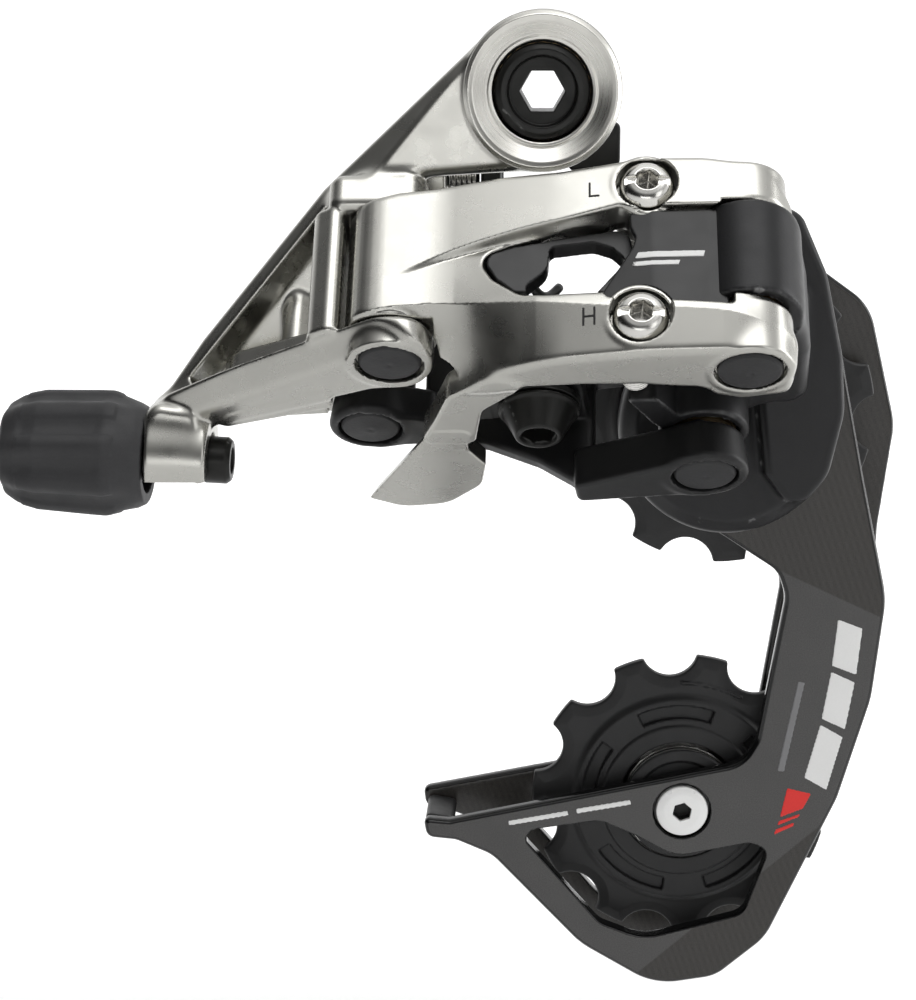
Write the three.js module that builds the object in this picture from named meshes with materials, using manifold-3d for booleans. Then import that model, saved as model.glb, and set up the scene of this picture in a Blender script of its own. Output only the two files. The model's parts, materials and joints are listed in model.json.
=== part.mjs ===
// Rear bicycle derailleur, short cage, drawn at its high-gear stop.
// Millimetres. Origin: where the hanger bolt's axis meets the hanger's outer face.
// +X towards the front of the bicycle, +Y inboard towards the wheel, +Z up.
import * as THREE from 'three'
import { mergeVertices } from 'three/addons/utils/BufferGeometryUtils.js'
import Module from 'manifold-3d'

const wasm = await Module()
wasm.setup()

// ---------------------------------------------------------------- driving dimensions
const GAP = 0.3                 // clearance between neighbouring pieces
const FULL = Math.PI * 2
const PIN_SIDES = 16            // facets round a pin or screw
const ROUND_SIDES = 24          // facets round a boss, bearing or housing

const SLANT = THREE.MathUtils.degToRad(39)      // the four link pins lean inboard by this much
const PIN_R = 3.0
const PIN_CAP_R = 4.0
const PIN_CAP_T = 1.1
const BUSH_R = 4.2
const BARREL_R = 5.8

// Pin axes in the slanted frame: x along the bicycle, b across the link, both in mm.
const PIN_A = { x: 0, b: 0 }
const PIN_B = { x: -3.9, b: 20.3 }
const LINK_X = 43.5
const LINK_B = -6.0
const PIN_C = { x: PIN_A.x + LINK_X, b: PIN_A.b + LINK_B }
const PIN_D = { x: PIN_B.x + LINK_X, b: PIN_B.b + LINK_B }

// Heights along the pins where each body's eyes and barrels start and end.
const A_LUG = [-0.4, 3.0]
const A_BARREL = [3.3, 20.0]
const A_TOP_LUG = [20.3, 27.0]
const C_LOWER_EYE = [-4.8, 3.0]
const C_BARREL = [3.3, 16.3]
const C_UPPER_EYE = [16.6, 22.7]
const B_LOWER_FORK = [1.7, 6.6]
const B_BARREL = [6.9, 23.1]
const B_UPPER_FORK = [23.4, 28.0]
const D_LOWER_FORK = [-8.1, -2.3]
const D_BARREL = [-2.0, 8.1]
const D_UPPER_FORK = [8.4, 12.4]

const HANGER_BOLT_R = 4.8       // M10 x 1 thread
const HANGER_HEX = 5.0
const BOSS_R = 10.1

const CAGE_PIVOT = { x: 25.4, z: -44.7 }
const TENSION_AXIS = { x: 21.0, z: -101.9 }
const OUTER_PLATE_Y = [3.2, 5.5]
const INNER_PLATE_Y = [14.2, 16.2]
const PULLEY_MID_Y = (OUTER_PLATE_Y[1] + INNER_PLATE_Y[0]) / 2

const CHAIN_PITCH = 12.7
const PULLEY_TEETH = 11
const PULLEY_TIP_R = 21.6
const ROLLER_SEAT_R = 4.05
const TOOTH_T = 2.3
const GUIDE_PHASE = 13.2        // degrees from +X to the middle of a tooth tip
const TENSION_PHASE = 13.0

const ADJUSTER_TILT = THREE.MathUtils.degToRad(2.7)
const ADJUSTER_START = new THREE.Vector3(-51.2, -12, -47.4)

// ---------------------------------------------------------------- frames
const EX = new THREE.Vector3(1, 0, 0)
const EY = new THREE.Vector3(0, 1, 0)
const EZ = new THREE.Vector3(0, 0, 1)
const EA = new THREE.Vector3(0, Math.sin(SLANT), Math.cos(SLANT))       // along the pins, up and inboard
const EB = new THREE.Vector3(0, Math.cos(SLANT), -Math.sin(SLANT))      // across the links
const SLANT_ORIGIN = new THREE.Vector3(-18.5, -26.0, -32.6)             // lower end of pin A

function slanted(x, a, b) {
  return SLANT_ORIGIN.clone().addScaledVector(EX, x).addScaledVector(EA, a).addScaledVector(EB, b)
}

function basis(u, v, w, origin) {
  return new THREE.Matrix4().makeBasis(u, v, w).setPosition(origin)
}

// ---------------------------------------------------------------- solids
function solidOf(geometry, matrix) {
  const source = geometry.index ? geometry.toNonIndexed() : geometry.clone()
  source.deleteAttribute('normal')
  source.deleteAttribute('uv')
  if (matrix) source.applyMatrix4(matrix)
  const merged = mergeVertices(source, 1e-4)
  const triangles = []
  const index = merged.index.array
  for (let i = 0; i < index.length; i += 3) {
    const [p, q, r] = [index[i], index[i + 1], index[i + 2]]
    if (p !== q && q !== r && r !== p) triangles.push(p, q, r)
  }
  return new wasm.Manifold(new wasm.Mesh({
    numProp: 3,
    vertProperties: new Float32Array(merged.attributes.position.array),
    triVerts: new Uint32Array(triangles),
  }))
}

function union(...solids) {
  return solids.reduce((sum, next) => sum.add(next))
}

function cut(body, ...tools) {
  return tools.reduce((rest, tool) => rest.subtract(tool), body)
}

// A closed outline whose corners [x, y, radius] are rounded by one curve each.
function outline(corners) {
  const points = corners.map(([x, y]) => new THREE.Vector2(x, y))
  const shape = new THREE.Shape()
  const count = corners.length
  for (let i = 0; i < count; i++) {
    const here = points[i]
    const before = points[(i + count - 1) % count]
    const after = points[(i + 1) % count]
    const radius = corners[i][2] ?? 0
    const reach = Math.min(radius, here.distanceTo(before) / 2, here.distanceTo(after) / 2)
    const start = here.clone().add(before.clone().sub(here).setLength(reach))
    const end = here.clone().add(after.clone().sub(here).setLength(reach))
    if (i === 0) shape.moveTo(start.x, start.y)
    else shape.lineTo(start.x, start.y)
    if (reach > 0.01) shape.quadraticCurveTo(here.x, here.y, end.x, end.y)
  }
  shape.closePath()
  return shape
}

function extrude(shape, depth, curveSegments = 2) {
  return new THREE.ExtrudeGeometry(shape, { depth, bevelEnabled: false, curveSegments })
}

// A plate in the X-Z plane from y0 to y1.
function plate(corners, [y0, y1]) {
  const origin = new THREE.Vector3(0, y1, 0)
  return solidOf(extrude(outline(corners), y1 - y0), basis(EX, EZ, EY.clone().negate(), origin))
}

// A slab square to the link pins: corners in (x, b), from height a0 to a1.
function slab(corners, [a0, a1]) {
  return solidOf(extrude(outline(corners), a1 - a0), basis(EX, EB, EA, slanted(0, a0, 0)))
}

// A sheet parallel to the link's face: corners in (x, a), from depth b0 to b1.
function sheet(corners, [b0, b1]) {
  return solidOf(extrude(outline(corners), b1 - b0), basis(EX, EA, EB.clone().negate(), slanted(0, 0,
    b1)))
}

function rod(from, to, radius, endRadius = radius, sides = PIN_SIDES) {
  const along = to.clone().sub(from)
  const geometry = new THREE.CylinderGeometry(endRadius, radius, along.length(), sides)
  const turn = new THREE.Quaternion().setFromUnitVectors(EY, along.clone().normalize())
  const middle = from.clone().add(to).multiplyScalar(0.5)
  return solidOf(geometry, new THREE.Matrix4().compose(middle, turn, new THREE.Vector3(1, 1, 1)))
}

function pinRod(pin, [a0, a1], radius, sides = PIN_SIDES) {
  return rod(slanted(pin.x, a0, pin.b), slanted(pin.x, a1, pin.b), radius, radius, sides)
}

function yRod(axis, [y0, y1], radius, sides = ROUND_SIDES) {
  const from = new THREE.Vector3(axis.x, y0, axis.z)
  const to = new THREE.Vector3(axis.x, y1, axis.z)
  return rod(from, to, radius, radius, sides)
}

function yTube(axis, [y0, y1], outer, inner, sides = ROUND_SIDES) {
  return cut(yRod(axis, [y0, y1], outer, sides), yRod(axis, [y0 - 1, y1 + 1], inner, sides))
}

function hexRod(from, to, acrossFlats) {
  return rod(from, to, acrossFlats / Math.sqrt(3), acrossFlats / Math.sqrt(3), 6)
}

// A ring or cup turned about an axis: profile points [radius, height] close on themselves.
function turned(profile, origin, axis, sides = ROUND_SIDES) {
  const points = profile.map(([radius, height]) => new THREE.Vector2(radius, height))
  if (THREE.ShapeUtils.isClockWise(points)) points.reverse()
  points.push(points[0].clone())
  const turn = new THREE.Quaternion().setFromUnitVectors(EY, axis)
  const place = new THREE.Matrix4().compose(origin, turn, new THREE.Vector3(1, 1, 1))
  return solidOf(new THREE.LatheGeometry(points, sides), place)
}

// ---------------------------------------------------------------- scene graph
const group = new THREE.Group()

const FINISH = {
  polished: [0xb9b7ad, 0.22, 1.0],
  steel: [0xa8a8a4, 0.3, 1.0],
  blackMetal: [0x1b1b1c, 0.45, 0.4],
  carbon: [0x2c2a28, 0.5, 0.2],
  grey: [0x333335, 0.5, 0.2],
  plastic: [0x202021, 0.55, 0.0],
  grip: [0x3a3a3b, 0.6, 0.0],
  rubber: [0x161616, 0.8, 0.0],
  white: [0xe8e8e8, 0.4, 0.2],
  bronze: [0x7a6a48, 0.4, 1.0],
}

function add(name, solid, [color, roughness, metalness]) {
  const { vertProperties, triVerts } = solid.getMesh()
  const geometry = new THREE.BufferGeometry()
  geometry.setAttribute('position', new THREE.BufferAttribute(new Float32Array(vertProperties), 3))
  geometry.setIndex(new THREE.BufferAttribute(new Uint32Array(triVerts), 1))
  geometry.computeVertexNormals()
  const mesh = new THREE.Mesh(geometry, new THREE.MeshStandardMaterial({ color, roughness, metalness }))
  mesh.name = name
  group.add(mesh)
}

// ---------------------------------------------------------------- hanger end
const HANGER = { x: 0, z: 0 }
const BOLT_HEAD_Y = [-15.2, -11.6]
const BOLT_TIP_Y = 9.0
const BOSS_Y = [-13.3, -2.8]
const BUSH_Y = [-11.3, -2.8]
const STOP_PLATE_Y = [-2.4, 0]

const boltBody = union(
  yRod(HANGER, BOLT_HEAD_Y, 6.0),
  yRod(HANGER, [BOLT_HEAD_Y[1] - 0.5, BOLT_TIP_Y], HANGER_BOLT_R),
)
add('hanger_bolt', cut(
  boltBody,
  yRod(HANGER, [BOLT_HEAD_Y[0] - 1, BOLT_HEAD_Y[0] + 2.2], 4.4),
  hexRod(new THREE.Vector3(0, BOLT_HEAD_Y[0] - 1, 0), new THREE.Vector3(0, BOLT_TIP_Y + 1, 0),
    HANGER_HEX),
), FINISH.blackMetal)

add('bolt_ring', turned(
  [[6.3, -13.6], [9.8, -13.6], [9.8, -15.8], [9.3, -16.3], [8.6, -16.2], [6.3, -14.9]],
  new THREE.Vector3(0, 0, 0), EY, 32,
), FINISH.polished)

add('pivot_bush', yTube(HANGER, BUSH_Y, 6.1, 5.1), FINISH.bronze)

const stopRing = yRod(HANGER, STOP_PLATE_Y, 10.2)
const stopEar = plate([[-5, -4, 0], [-8, -5, 1], [-8, -14, 0.8], [-5.2, -14, 0.8]], STOP_PLATE_Y)
const stopTab = plate([[-8, -9, 0], [-5.4, -9, 0], [-5.4, -14, 0.8], [-8, -14, 0.8]], [-2.4, 3.6])
const frontTab = plate([[2, -8, 0], [10.3, -3.6, 0.6], [10.3, -9.9, 0.8], [4, -10.6, 0.8]], [-2.4, 3.0])
add('stop_plate', cut(
  union(stopRing, stopEar, stopTab, frontTab),
  yRod(HANGER, [-3, 4], HANGER_BOLT_R + GAP),
  yRod(HANGER, [0, 4], 9.2),
), FINISH.blackMetal)

// ---------------------------------------------------------------- b knuckle
const knuckleArm = plate([
  [-8.6, 5.6, 1], [-28.2, -12.6, 4], [-44.6, -32.4, 6], [-51.0, -41.4, 2], [-44.0, -43.0, 2],
  [-38.0, -38.0, 3], [-27.0, -35.5, 1], [-25.6, -15.6, 2], [-12.0, -10.6, 4], [0, -9.9, 1], [5, 0, 0],
  [0, 9.5, 0],
], [-13.0, -4.0])
const armPocket = plate([[-30.2, -19.4, 1.5], [-29.8, -27.4, 1.5], [-37.6, -30.6, 1.5]], [-24, -7.5])
const lowerLug = slab([
  [5.2, 2.0, 3], [2.8, 5.6, 3], [-2.8, 6.0, 3], [-10.0, 9.6, 2], [-24.0, 16.0, 3], [-30.5, 20.5, 3],
  [-30.0, 12.0, 3], [-18.0, 5.2, 3], [-11.3, 1.3, 3], [-3.6, -4.6, 3], [3.6, -4.6, 3],
], A_LUG)
const lugRoot = slab([[-8.0, 6, 1], [-22, 13, 3], [-24, 24, 3], [-8.0, 22, 1]], [A_LUG[0], 9])
const post = slab([[-6.3, -3.0, 1], [-6.3, 9.0, 1], [-10.0, 14.0, 1], [-10.0, 1.5, 2]], [0.5, 24])
const upperLug = slab([[4.8, -4.8, 4], [4.6, 4.2, 4], [-6, 9, 1], [-9, 9, 2], [-8.5, -4.5, 2]], A_TOP_LUG)
const barrelB = pinRod(PIN_B, B_BARREL, BARREL_R)
const barrelWeb = slab([[-2.5, 15.0, 1], [-2.5, 25.0, 1], [-15.5, 25.0, 3], [-15.5, 10.0, 2],
  [-9, 12.0, 1]], B_BARREL)
const bScrewLug = plate([[-12.6, -6.6, 1.5], [-12.6, -14.4, 1.5], [-20.6, -14.4, 1.5],
  [-20.6, -8.0, 1.5]], [-5, 4.6])

const adjusterAxis = new THREE.Vector3(Math.cos(ADJUSTER_TILT), 0, -Math.sin(ADJUSTER_TILT))
function onAdjuster(distance) {
  return ADJUSTER_START.clone().addScaledVector(adjusterAxis, distance)
}
const adjusterBoss = rod(onAdjuster(0), onAdjuster(7.8), 6.2, 5.8)
const bossNeck = plate([[-51.0, -39, 1], [-43.0, -39, 1], [-43.0, -46, 1], [-50.6, -46, 1]],
  [-16.5, -7.5])

const bScrewAxis = { y: 1.0, z: -11.2 }
function onBScrew(x) {
  return new THREE.Vector3(x, bScrewAxis.y, bScrewAxis.z)
}

const knuckle = cut(
  union(
    yRod(HANGER, BOSS_Y, BOSS_R, 32), knuckleArm, lowerLug, lugRoot, post, upperLug,
    barrelB, barrelWeb, bScrewLug, bossNeck,
  ),
  armPocket,
  yRod(HANGER, [BOSS_Y[0] - 1, BOSS_Y[1] + 1], 6.4),
  pinRod(PIN_A, [-2, 26.2], PIN_R + GAP),
  pinRod(PIN_A, [-2, 0.85], PIN_CAP_R + GAP),
  pinRod(PIN_A, [A_BARREL[0] - GAP, A_BARREL[1] + GAP], BARREL_R + GAP),
  pinRod(PIN_B, [B_BARREL[0] - 1, B_BARREL[1] + 1], BUSH_R + GAP),
  pinRod(PIN_B, [-4, B_BARREL[0]], BARREL_R + 0.4),
  pinRod(PIN_B, [B_BARREL[1], 34], BARREL_R + 0.4),
  rod(onAdjuster(-0.4), onAdjuster(8.2), 6.5, 6.1),
  rod(onAdjuster(8), onAdjuster(12), 4.2),
  rod(onBScrew(-26), onBScrew(-10), 2.3),
)
add('b_knuckle', knuckle, FINISH.polished)
add('adjuster_boss', cut(adjusterBoss, rod(onAdjuster(-2), onAdjuster(16), 3.6)), FINISH.polished)

const bScrew = union(
  rod(onBScrew(-23.5), onBScrew(-20.9), 3.5), rod(onBScrew(-21.5), onBScrew(-8.5), 2.0),
)
add('b_screw', cut(bScrew, hexRod(onBScrew(-25), onBScrew(-21.9), 3.0)), FINISH.steel)

// ---------------------------------------------------------------- link pins
function pinAndCap(letter, pin, [low, high]) {
  add(`pin_${letter}`, pinRod(pin, [low + PIN_CAP_T + GAP - 0.1, high], PIN_R), FINISH.steel)
  add(`pin_cap_${letter}`, pinRod(pin, [low, low + PIN_CAP_T - 0.1], PIN_CAP_R), FINISH.plastic)
}
function bushing(letter, pin, [low, high]) {
  const outer = pinRod(pin, [low + 0.1, high - 0.1], BUSH_R)
  add(`bush_${letter}`, cut(outer, pinRod(pin, [low - 1, high + 1], PIN_R + GAP)), FINISH.bronze)
}
function capSeat(pin, low) {
  return pinRod(pin, [low - 3, low + PIN_CAP_T + GAP - 0.15], PIN_CAP_R + GAP)
}
pinAndCap('a', PIN_A, [A_LUG[0] - 0.1, 25.9])
pinAndCap('b', PIN_B, [B_LOWER_FORK[0] - 0.1, 26.9])
pinAndCap('c', PIN_C, [C_LOWER_EYE[0] - 0.1, 21.7])
pinAndCap('d', PIN_D, [D_LOWER_FORK[0] - 0.1, 11.4])
bushing('a', PIN_A, A_BARREL)
bushing('b', PIN_B, B_BARREL)
bushing('c', PIN_C, C_BARREL)
bushing('d', PIN_D, D_BARREL)

// ---------------------------------------------------------------- barrel adjuster
const stem = union(rod(onAdjuster(-12), onAdjuster(10.7), 3.1), rod(onAdjuster(-12), onAdjuster(-9), 4.6))
add('adjuster_stem', cut(stem, rod(onAdjuster(-7), onAdjuster(12), 1.3), rod(onAdjuster(-13),
  onAdjuster(-6), 2.4)),
  FINISH.blackMetal)
add('housing_seat', turned([[0.9, 0], [2.1, 0], [2.1, 4.0],
  [0.9, 4.0]], onAdjuster(-10.6), adjusterAxis, PIN_SIDES),
  FINISH.steel)
const GRIP_FLUTES = 9
const gripCore = turned([
  [4.9, 0], [6.4, 0], [8.2, 4.6], [8.2, 6.2], [7.2, 16.6], [6.2, 18.6], [5.0, 19.0], [3.3, 19.0],
  [3.3, 11.8],
  [4.9, 11.8],
], onAdjuster(-0.4), adjusterAxis.clone().negate(), 27)
let grip = gripCore
for (let i = 0; i < GRIP_FLUTES; i++) {
  const angle = i / GRIP_FLUTES * FULL
  const away = EY.clone().multiplyScalar(Math.cos(angle)).addScaledVector(EZ, Math.sin(angle))
  const from = onAdjuster(-1.5).addScaledVector(away, 9.6)
  const to = onAdjuster(-17.5).addScaledVector(away, 8.7)
  grip = grip.subtract(rod(from, to, 1.7, 1.5, 8))
}
add('adjuster_grip', grip, FINISH.grip)
add('adjuster_detent_spring', turned([[3.9, 0], [4.7, 0], [4.7, 3.0],
  [3.9, 3.0]], onAdjuster(-8.2), adjusterAxis, PIN_SIDES),
  FINISH.steel)

// ---------------------------------------------------------------- outer link
const facePlate = sheet([
  [-5.0, 3.6, 1], [-5.0, 19.8, 1], [0.7, 21.2, 2], [13.3, 22.3, 2], [15.0, 17.5, 2], [11.2, 10.8, 3],
  [14.5, 6.6, 3],
  [17.0, 2.0, 1], [8.0, -1.0, 2], [3.0, 3.0, 2],
], [-5.6, -0.8])
const upperArm = sheet([
  [8.0, 21.6, 2], [20.8, 22.2, 4], [31.0, 22.9, 4], [38.3, 22.7, 4], [44.0, 22.7, 1], [44.0, 16.6, 1],
  [30.7, 16.4, 4],
  [13.3, 15.4, 2], [8.0, 14.5, 1],
], [-10.6, -5.0])
const upperArmRoot = sheet([[6, 15, 1], [6, 21.2, 1], [26, 22.2, 2], [26, 16.8, 2]], [-8.0, -1.6])
const lowerArm = slab([
  [13.6, -4.8, 2], [10.7, -1.2, 2], [11.4, 3.5, 3], [14.6, -1.8, 3], [24.4, -2.6, 3], [32.4, -2.5, 3],
  [38.5, -2.2, 2],
  [43, -2, 1], [43.5, -11.2, 2], [32, -11.1, 4], [20.8, -9.2, 4],
], C_LOWER_EYE)
const lowerEye = pinRod(PIN_C, C_LOWER_EYE, 5.3)
const upperEye = pinRod(PIN_C, C_UPPER_EYE, 5.3)
const clawRoot = slab([
  [14.6, -5.2, 2], [8.6, 1.4, 2], [5.6, 8.6, 2], [3.8, 12.2, 1], [10.4, 12.2, 1], [11.2, 4, 2],
  [16, -3.4, 2],
], [C_LOWER_EYE[0], A_LUG[0] - 0.4])
const claw = slab([
  [5.0, 9.0, 1], [2.5, 14.2, 1], [-3.8, 26.8, 1.5], [0.6, 28.4, 2], [6.2, 27.0, 4], [10.4, 21.8, 4],
  [10.9, 16, 3],
  [10.2, 9.0, 1],
], [C_LOWER_EYE[0], -2.4])

const SCREW_LOW = { x: 31.4, a: 19.4 }
const SCREW_HIGH = { x: 30.4, a: 0.6 }
const SCREW_FACE_B = -10.4
function screwRod(screw, [b0, b1], radius) {
  return rod(slanted(screw.x, screw.a, b0), slanted(screw.x, screw.a, b1), radius)
}
function limitScrew(screw, tip) {
  const body = union(
    screwRod(screw, [SCREW_FACE_B, SCREW_FACE_B + 2.4], 3.35),
    screwRod(screw, [SCREW_FACE_B + 1, tip], 1.9),
  )
  const socket = hexRod(
    slanted(screw.x, screw.a, SCREW_FACE_B - 1), slanted(screw.x, screw.a, SCREW_FACE_B + 1.8), 2.5)
  return cut(body, socket)
}
function screwSeat(screw) {
  return union(
    screwRod(screw, [SCREW_FACE_B - 4, SCREW_FACE_B + 2.7], 3.7),
    screwRod(screw, [SCREW_FACE_B, 8], 2.2),
  )
}
// The dark panel that closes the front end of the link's window, grown all round by a margin.
// It follows the curve of the link's front, so that it passes in front of pin C's barrel.
function insertPanel(margin) {
  const curve = slab([
    [23.0, -8.6 - margin, 0], [32.0, -10.3 - margin, 6], [38.8 + margin, -10.5 - margin, 0],
    [38.8 + margin, -9.9 + margin, 0], [32.0, -9.5 + margin, 6], [23.0, -7.8 + margin, 0],
  ], [0, 20])
  const silhouette = sheet([
    [25.4 - margin, 3.4 - margin, 1], [29.4 - margin, 10.6, 1], [29.2 - margin, 15.6 + margin, 0.5],
    [40.0, 15.9 + margin, 0], [40.0, 3.4 - margin, 0],
  ], [-14, -6])
  return curve.intersect(silhouette)
}
const screwBossLow = screwRod(SCREW_LOW, [-9.5, -3.5], 4.0)
const outerLink = cut(
  union(
    pinRod(PIN_A, A_BARREL, BARREL_R), facePlate, upperArm, upperArmRoot, lowerArm, lowerEye, upperEye,
    clawRoot, claw, screwBossLow,
  ),
  pinRod(PIN_A, [A_BARREL[0] - 3, A_BARREL[1] + 3], BUSH_R + GAP),
  pinRod(PIN_A, [-6, A_LUG[1] + GAP], 6.3),
  slab([[6.0, 2.6, 3], [4.2, 7.6, 3], [-6, 7, 3], [-8, -5.6, 3], [5, -5.6, 3]],
    [A_LUG[0] - 0.4, A_LUG[1] + GAP]),
  slab([[6.0, -7, 1], [6.4, 6.4, 3], [-6, 9, 1], [-9, 9, 2], [-8.5, -7, 2]], [A_TOP_LUG[0] - GAP, 30]),
  pinRod(PIN_C, [-8, 22.0], PIN_R + GAP),
  capSeat(PIN_C, C_LOWER_EYE[0]),
  pinRod(PIN_C, [C_BARREL[0] - GAP, C_BARREL[1] + GAP], BARREL_R + 0.4),
  screwSeat(SCREW_LOW),
  screwSeat(SCREW_HIGH),
  insertPanel(GAP),
)
add('outer_link', outerLink, FINISH.polished)
add('limit_screw_low', limitScrew(SCREW_LOW, 5.0), FINISH.steel)
add('limit_screw_high', limitScrew(SCREW_HIGH, 5.0), FINISH.steel)
add('link_insert', cut(insertPanel(0), screwSeat(SCREW_LOW), screwSeat(SCREW_HIGH)), FINISH.plastic)

// ---------------------------------------------------------------- inner link
const linkTurn = Math.atan2(LINK_B, LINK_X)
// (u, v): along and across the inner link, measured from pin B.
function innerPoint(u, v) {
  const x = PIN_B.x + u * Math.cos(linkTurn) - v * Math.sin(linkTurn)
  const b = PIN_B.b + u * Math.sin(linkTurn) + v * Math.cos(linkTurn)
  return [x, b]
}
function innerSlab(corners, heights) {
  return slab(corners.map(([u, v, radius]) => [...innerPoint(u, v), radius]), heights)
}
const LINK_LENGTH = Math.hypot(LINK_X, LINK_B)
const WEB_V = [2.6, 5.4]
const WEB_START = 6.6
const WEB_END = 29.5
const webU = EX.clone().multiplyScalar(Math.cos(linkTurn)).addScaledVector(EB, Math.sin(linkTurn))
const webV = EX.clone().multiplyScalar(-Math.sin(linkTurn)).addScaledVector(EB, Math.cos(linkTurn))
const web = solidOf(
  extrude(outline([
    [WEB_START, 1.7, 1], [15, 0.2, 3], [22, -3.0, 3], [WEB_END, -8.1, 1], [WEB_END, 12.4, 1],
    [20, 21.5, 4],
    [WEB_START, 28, 1],
  ]), WEB_V[1] - WEB_V[0]),
  basis(webU, EA, webV.clone().negate(), slanted(PIN_B.x, 0, PIN_B.b).addScaledVector(webV, WEB_V[1])),
)
const ANCHOR = { u: 23.0, v: -3.4 }
const anchorXB = innerPoint(ANCHOR.u, ANCHOR.v)
function anchorRod([a0, a1], radius, endRadius = radius) {
  return rod(slanted(anchorXB[0], a0, anchorXB[1]), slanted(anchorXB[0], a1, anchorXB[1]), radius,
    endRadius)
}
const innerLink = cut(
  union(
    web,
    pinRod(PIN_B, B_LOWER_FORK, 5.2), innerSlab([[0, -5, 0], [9, -1, 1], [9, 5.4, 1],
      [0, 5, 0]], B_LOWER_FORK),
    pinRod(PIN_B, B_UPPER_FORK, 5.2), innerSlab([[0, -5, 0], [9, -1, 1], [9, 5.4, 1],
      [0, 5, 0]], B_UPPER_FORK),
    pinRod(PIN_D, D_LOWER_FORK, 5.2),
    innerSlab([[27, 1, 1], [LINK_LENGTH, -5, 0], [LINK_LENGTH, 5, 0], [27, 5.4, 1]], D_LOWER_FORK),
    pinRod(PIN_D, D_UPPER_FORK, 4.4),
    innerSlab([[27, 1, 1], [LINK_LENGTH, -4.3, 0], [LINK_LENGTH, 4.3, 0], [27, 5.4, 1]], D_UPPER_FORK),
    innerSlab([[17.4, -8.4, 4], [28.6, -8.4, 4], [28.6, 3, 0], [17.4, 3, 0]], [3.0, 7.0]),
    innerSlab([[13.0, -5.6, 1], [19, -5.6, 1], [19, 3, 0], [13.0, 3, 0]], [17.6, 20.6]),
  ),
  pinRod(PIN_B, [-4, 27.2], PIN_R + GAP),
  capSeat(PIN_B, B_LOWER_FORK[0]),
  pinRod(PIN_D, [-12, 11.7], PIN_R + GAP),
  capSeat(PIN_D, D_LOWER_FORK[0]),
  anchorRod([0, 10], 2.8),
  anchorRod([-6, 2.7], 6.0),
)
add('inner_link', innerLink, FINISH.blackMetal)
const anchorBolt = union(anchorRod([-2.9, 1.2], 3.0, 5.3), anchorRod([1.0, 8.6], 2.45))
add('cable_anchor_bolt', cut(anchorBolt, hexRod(
  slanted(anchorXB[0], -4, anchorXB[1]), slanted(anchorXB[0], -0.4, anchorXB[1]), 4.0)),
    FINISH.blackMetal)
// The washer's tab runs out from under the bolt's head, and its lip is where the cable lies.
const WASHER_A = [1.5, 2.5]
const CABLE_LIP_A = 2.9
const [tabStart, tabEnd] = [ANCHOR.u - 9.4, ANCHOR.u - 3.6]
add('cable_clamp_washer', cut(
  union(
    anchorRod(WASHER_A, 5.4),
    innerSlab([[tabStart, -5.6, 0.8], [tabEnd, -5.6, 0], [tabEnd, -1.2, 0], [tabStart, -1.2, 0.8]],
      WASHER_A),
    innerSlab([[tabStart, -5.6, 0.8], [16.8, -5.6, 0], [16.8, -1.2, 0], [tabStart, -1.2, 0.8]],
      [WASHER_A[0], CABLE_LIP_A]),
  ),
  anchorRod([0, 4], 2.8),
), FINISH.steel)

// Extension spring from a post on the b knuckle's side to one on the inner link.
const springFrom = slanted(8.2, 15.6, 4.4)
const springTo = slanted(21.6, 16.2, 6.0)
add('return_spring', rod(springFrom, springTo, 3.9), FINISH.blackMetal)

// ---------------------------------------------------------------- p knuckle
const HOUSING_R = 14.7
const HOUSING_Y = [-5.2, 1.5]
const CAVITY_Y = -3.4
const SPRING_R = [7.4, 11.4]
const STOP_ANGLE = THREE.MathUtils.degToRad(45)
function aroundPivot(angle, radius) {
  return [CAGE_PIVOT.x + radius * Math.cos(angle), CAGE_PIVOT.z + radius * Math.sin(angle)]
}
const shell = plate([
  [27.4, -16.2, 2], [33.0, -15.0, 3], [37.2, -23.4, 4], [39.4, -34.0, 4], [39.8, -42.0, 4],
  [37.0, -51.0, 3],
  [30.0, -50.0, 0], [28.0, -34.0, 2],
], [-9.0, HOUSING_Y[1]])
const sideWall = slab([
  [43.5, -11.4, 3], [49.4, -8.0, 4], [52.0, 3.0, 4], [53.0, 16.0, 2], [46.6, 16.0, 1], [46.2, 4.0, 2],
  [43.5, 0, 1],
], C_BARREL)
const crossWeb = slab([[39.6, -4, 1], [48, -4, 2], [50, 14, 2], [44, 19, 2], [35.4, 14, 2]],
  [C_BARREL[0], D_BARREL[1]])
const stopPost = slab([[29.2, 5.6, 0.5], [33.0, 5.6, 0.5], [37.0, 11.0, 1], [36.0, 15.0, 1],
  [33.0, 12.0, 1]], [-1.9, 3.0])
const cageStop = plate([
  [...aroundPivot(STOP_ANGLE - 0.12, 13.5), 0.5], [...aroundPivot(STOP_ANGLE + 0.1, 13.5), 0.5],
  [...aroundPivot(STOP_ANGLE + 0.08, 18.4), 0.5], [...aroundPivot(STOP_ANGLE - 0.1, 18.4), 0.5],
], [0, 2.9])
const forkClearance = union(
  pinRod(PIN_D, [D_UPPER_FORK[0] - GAP, 16], 5.0),
  innerSlab([[20, -4, 0], [LINK_LENGTH, -4.9, 0], [LINK_LENGTH, 4.9, 0], [38, 6, 0], [20, 6, 0]],
    [D_UPPER_FORK[0] - GAP, 16]),
)
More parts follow.
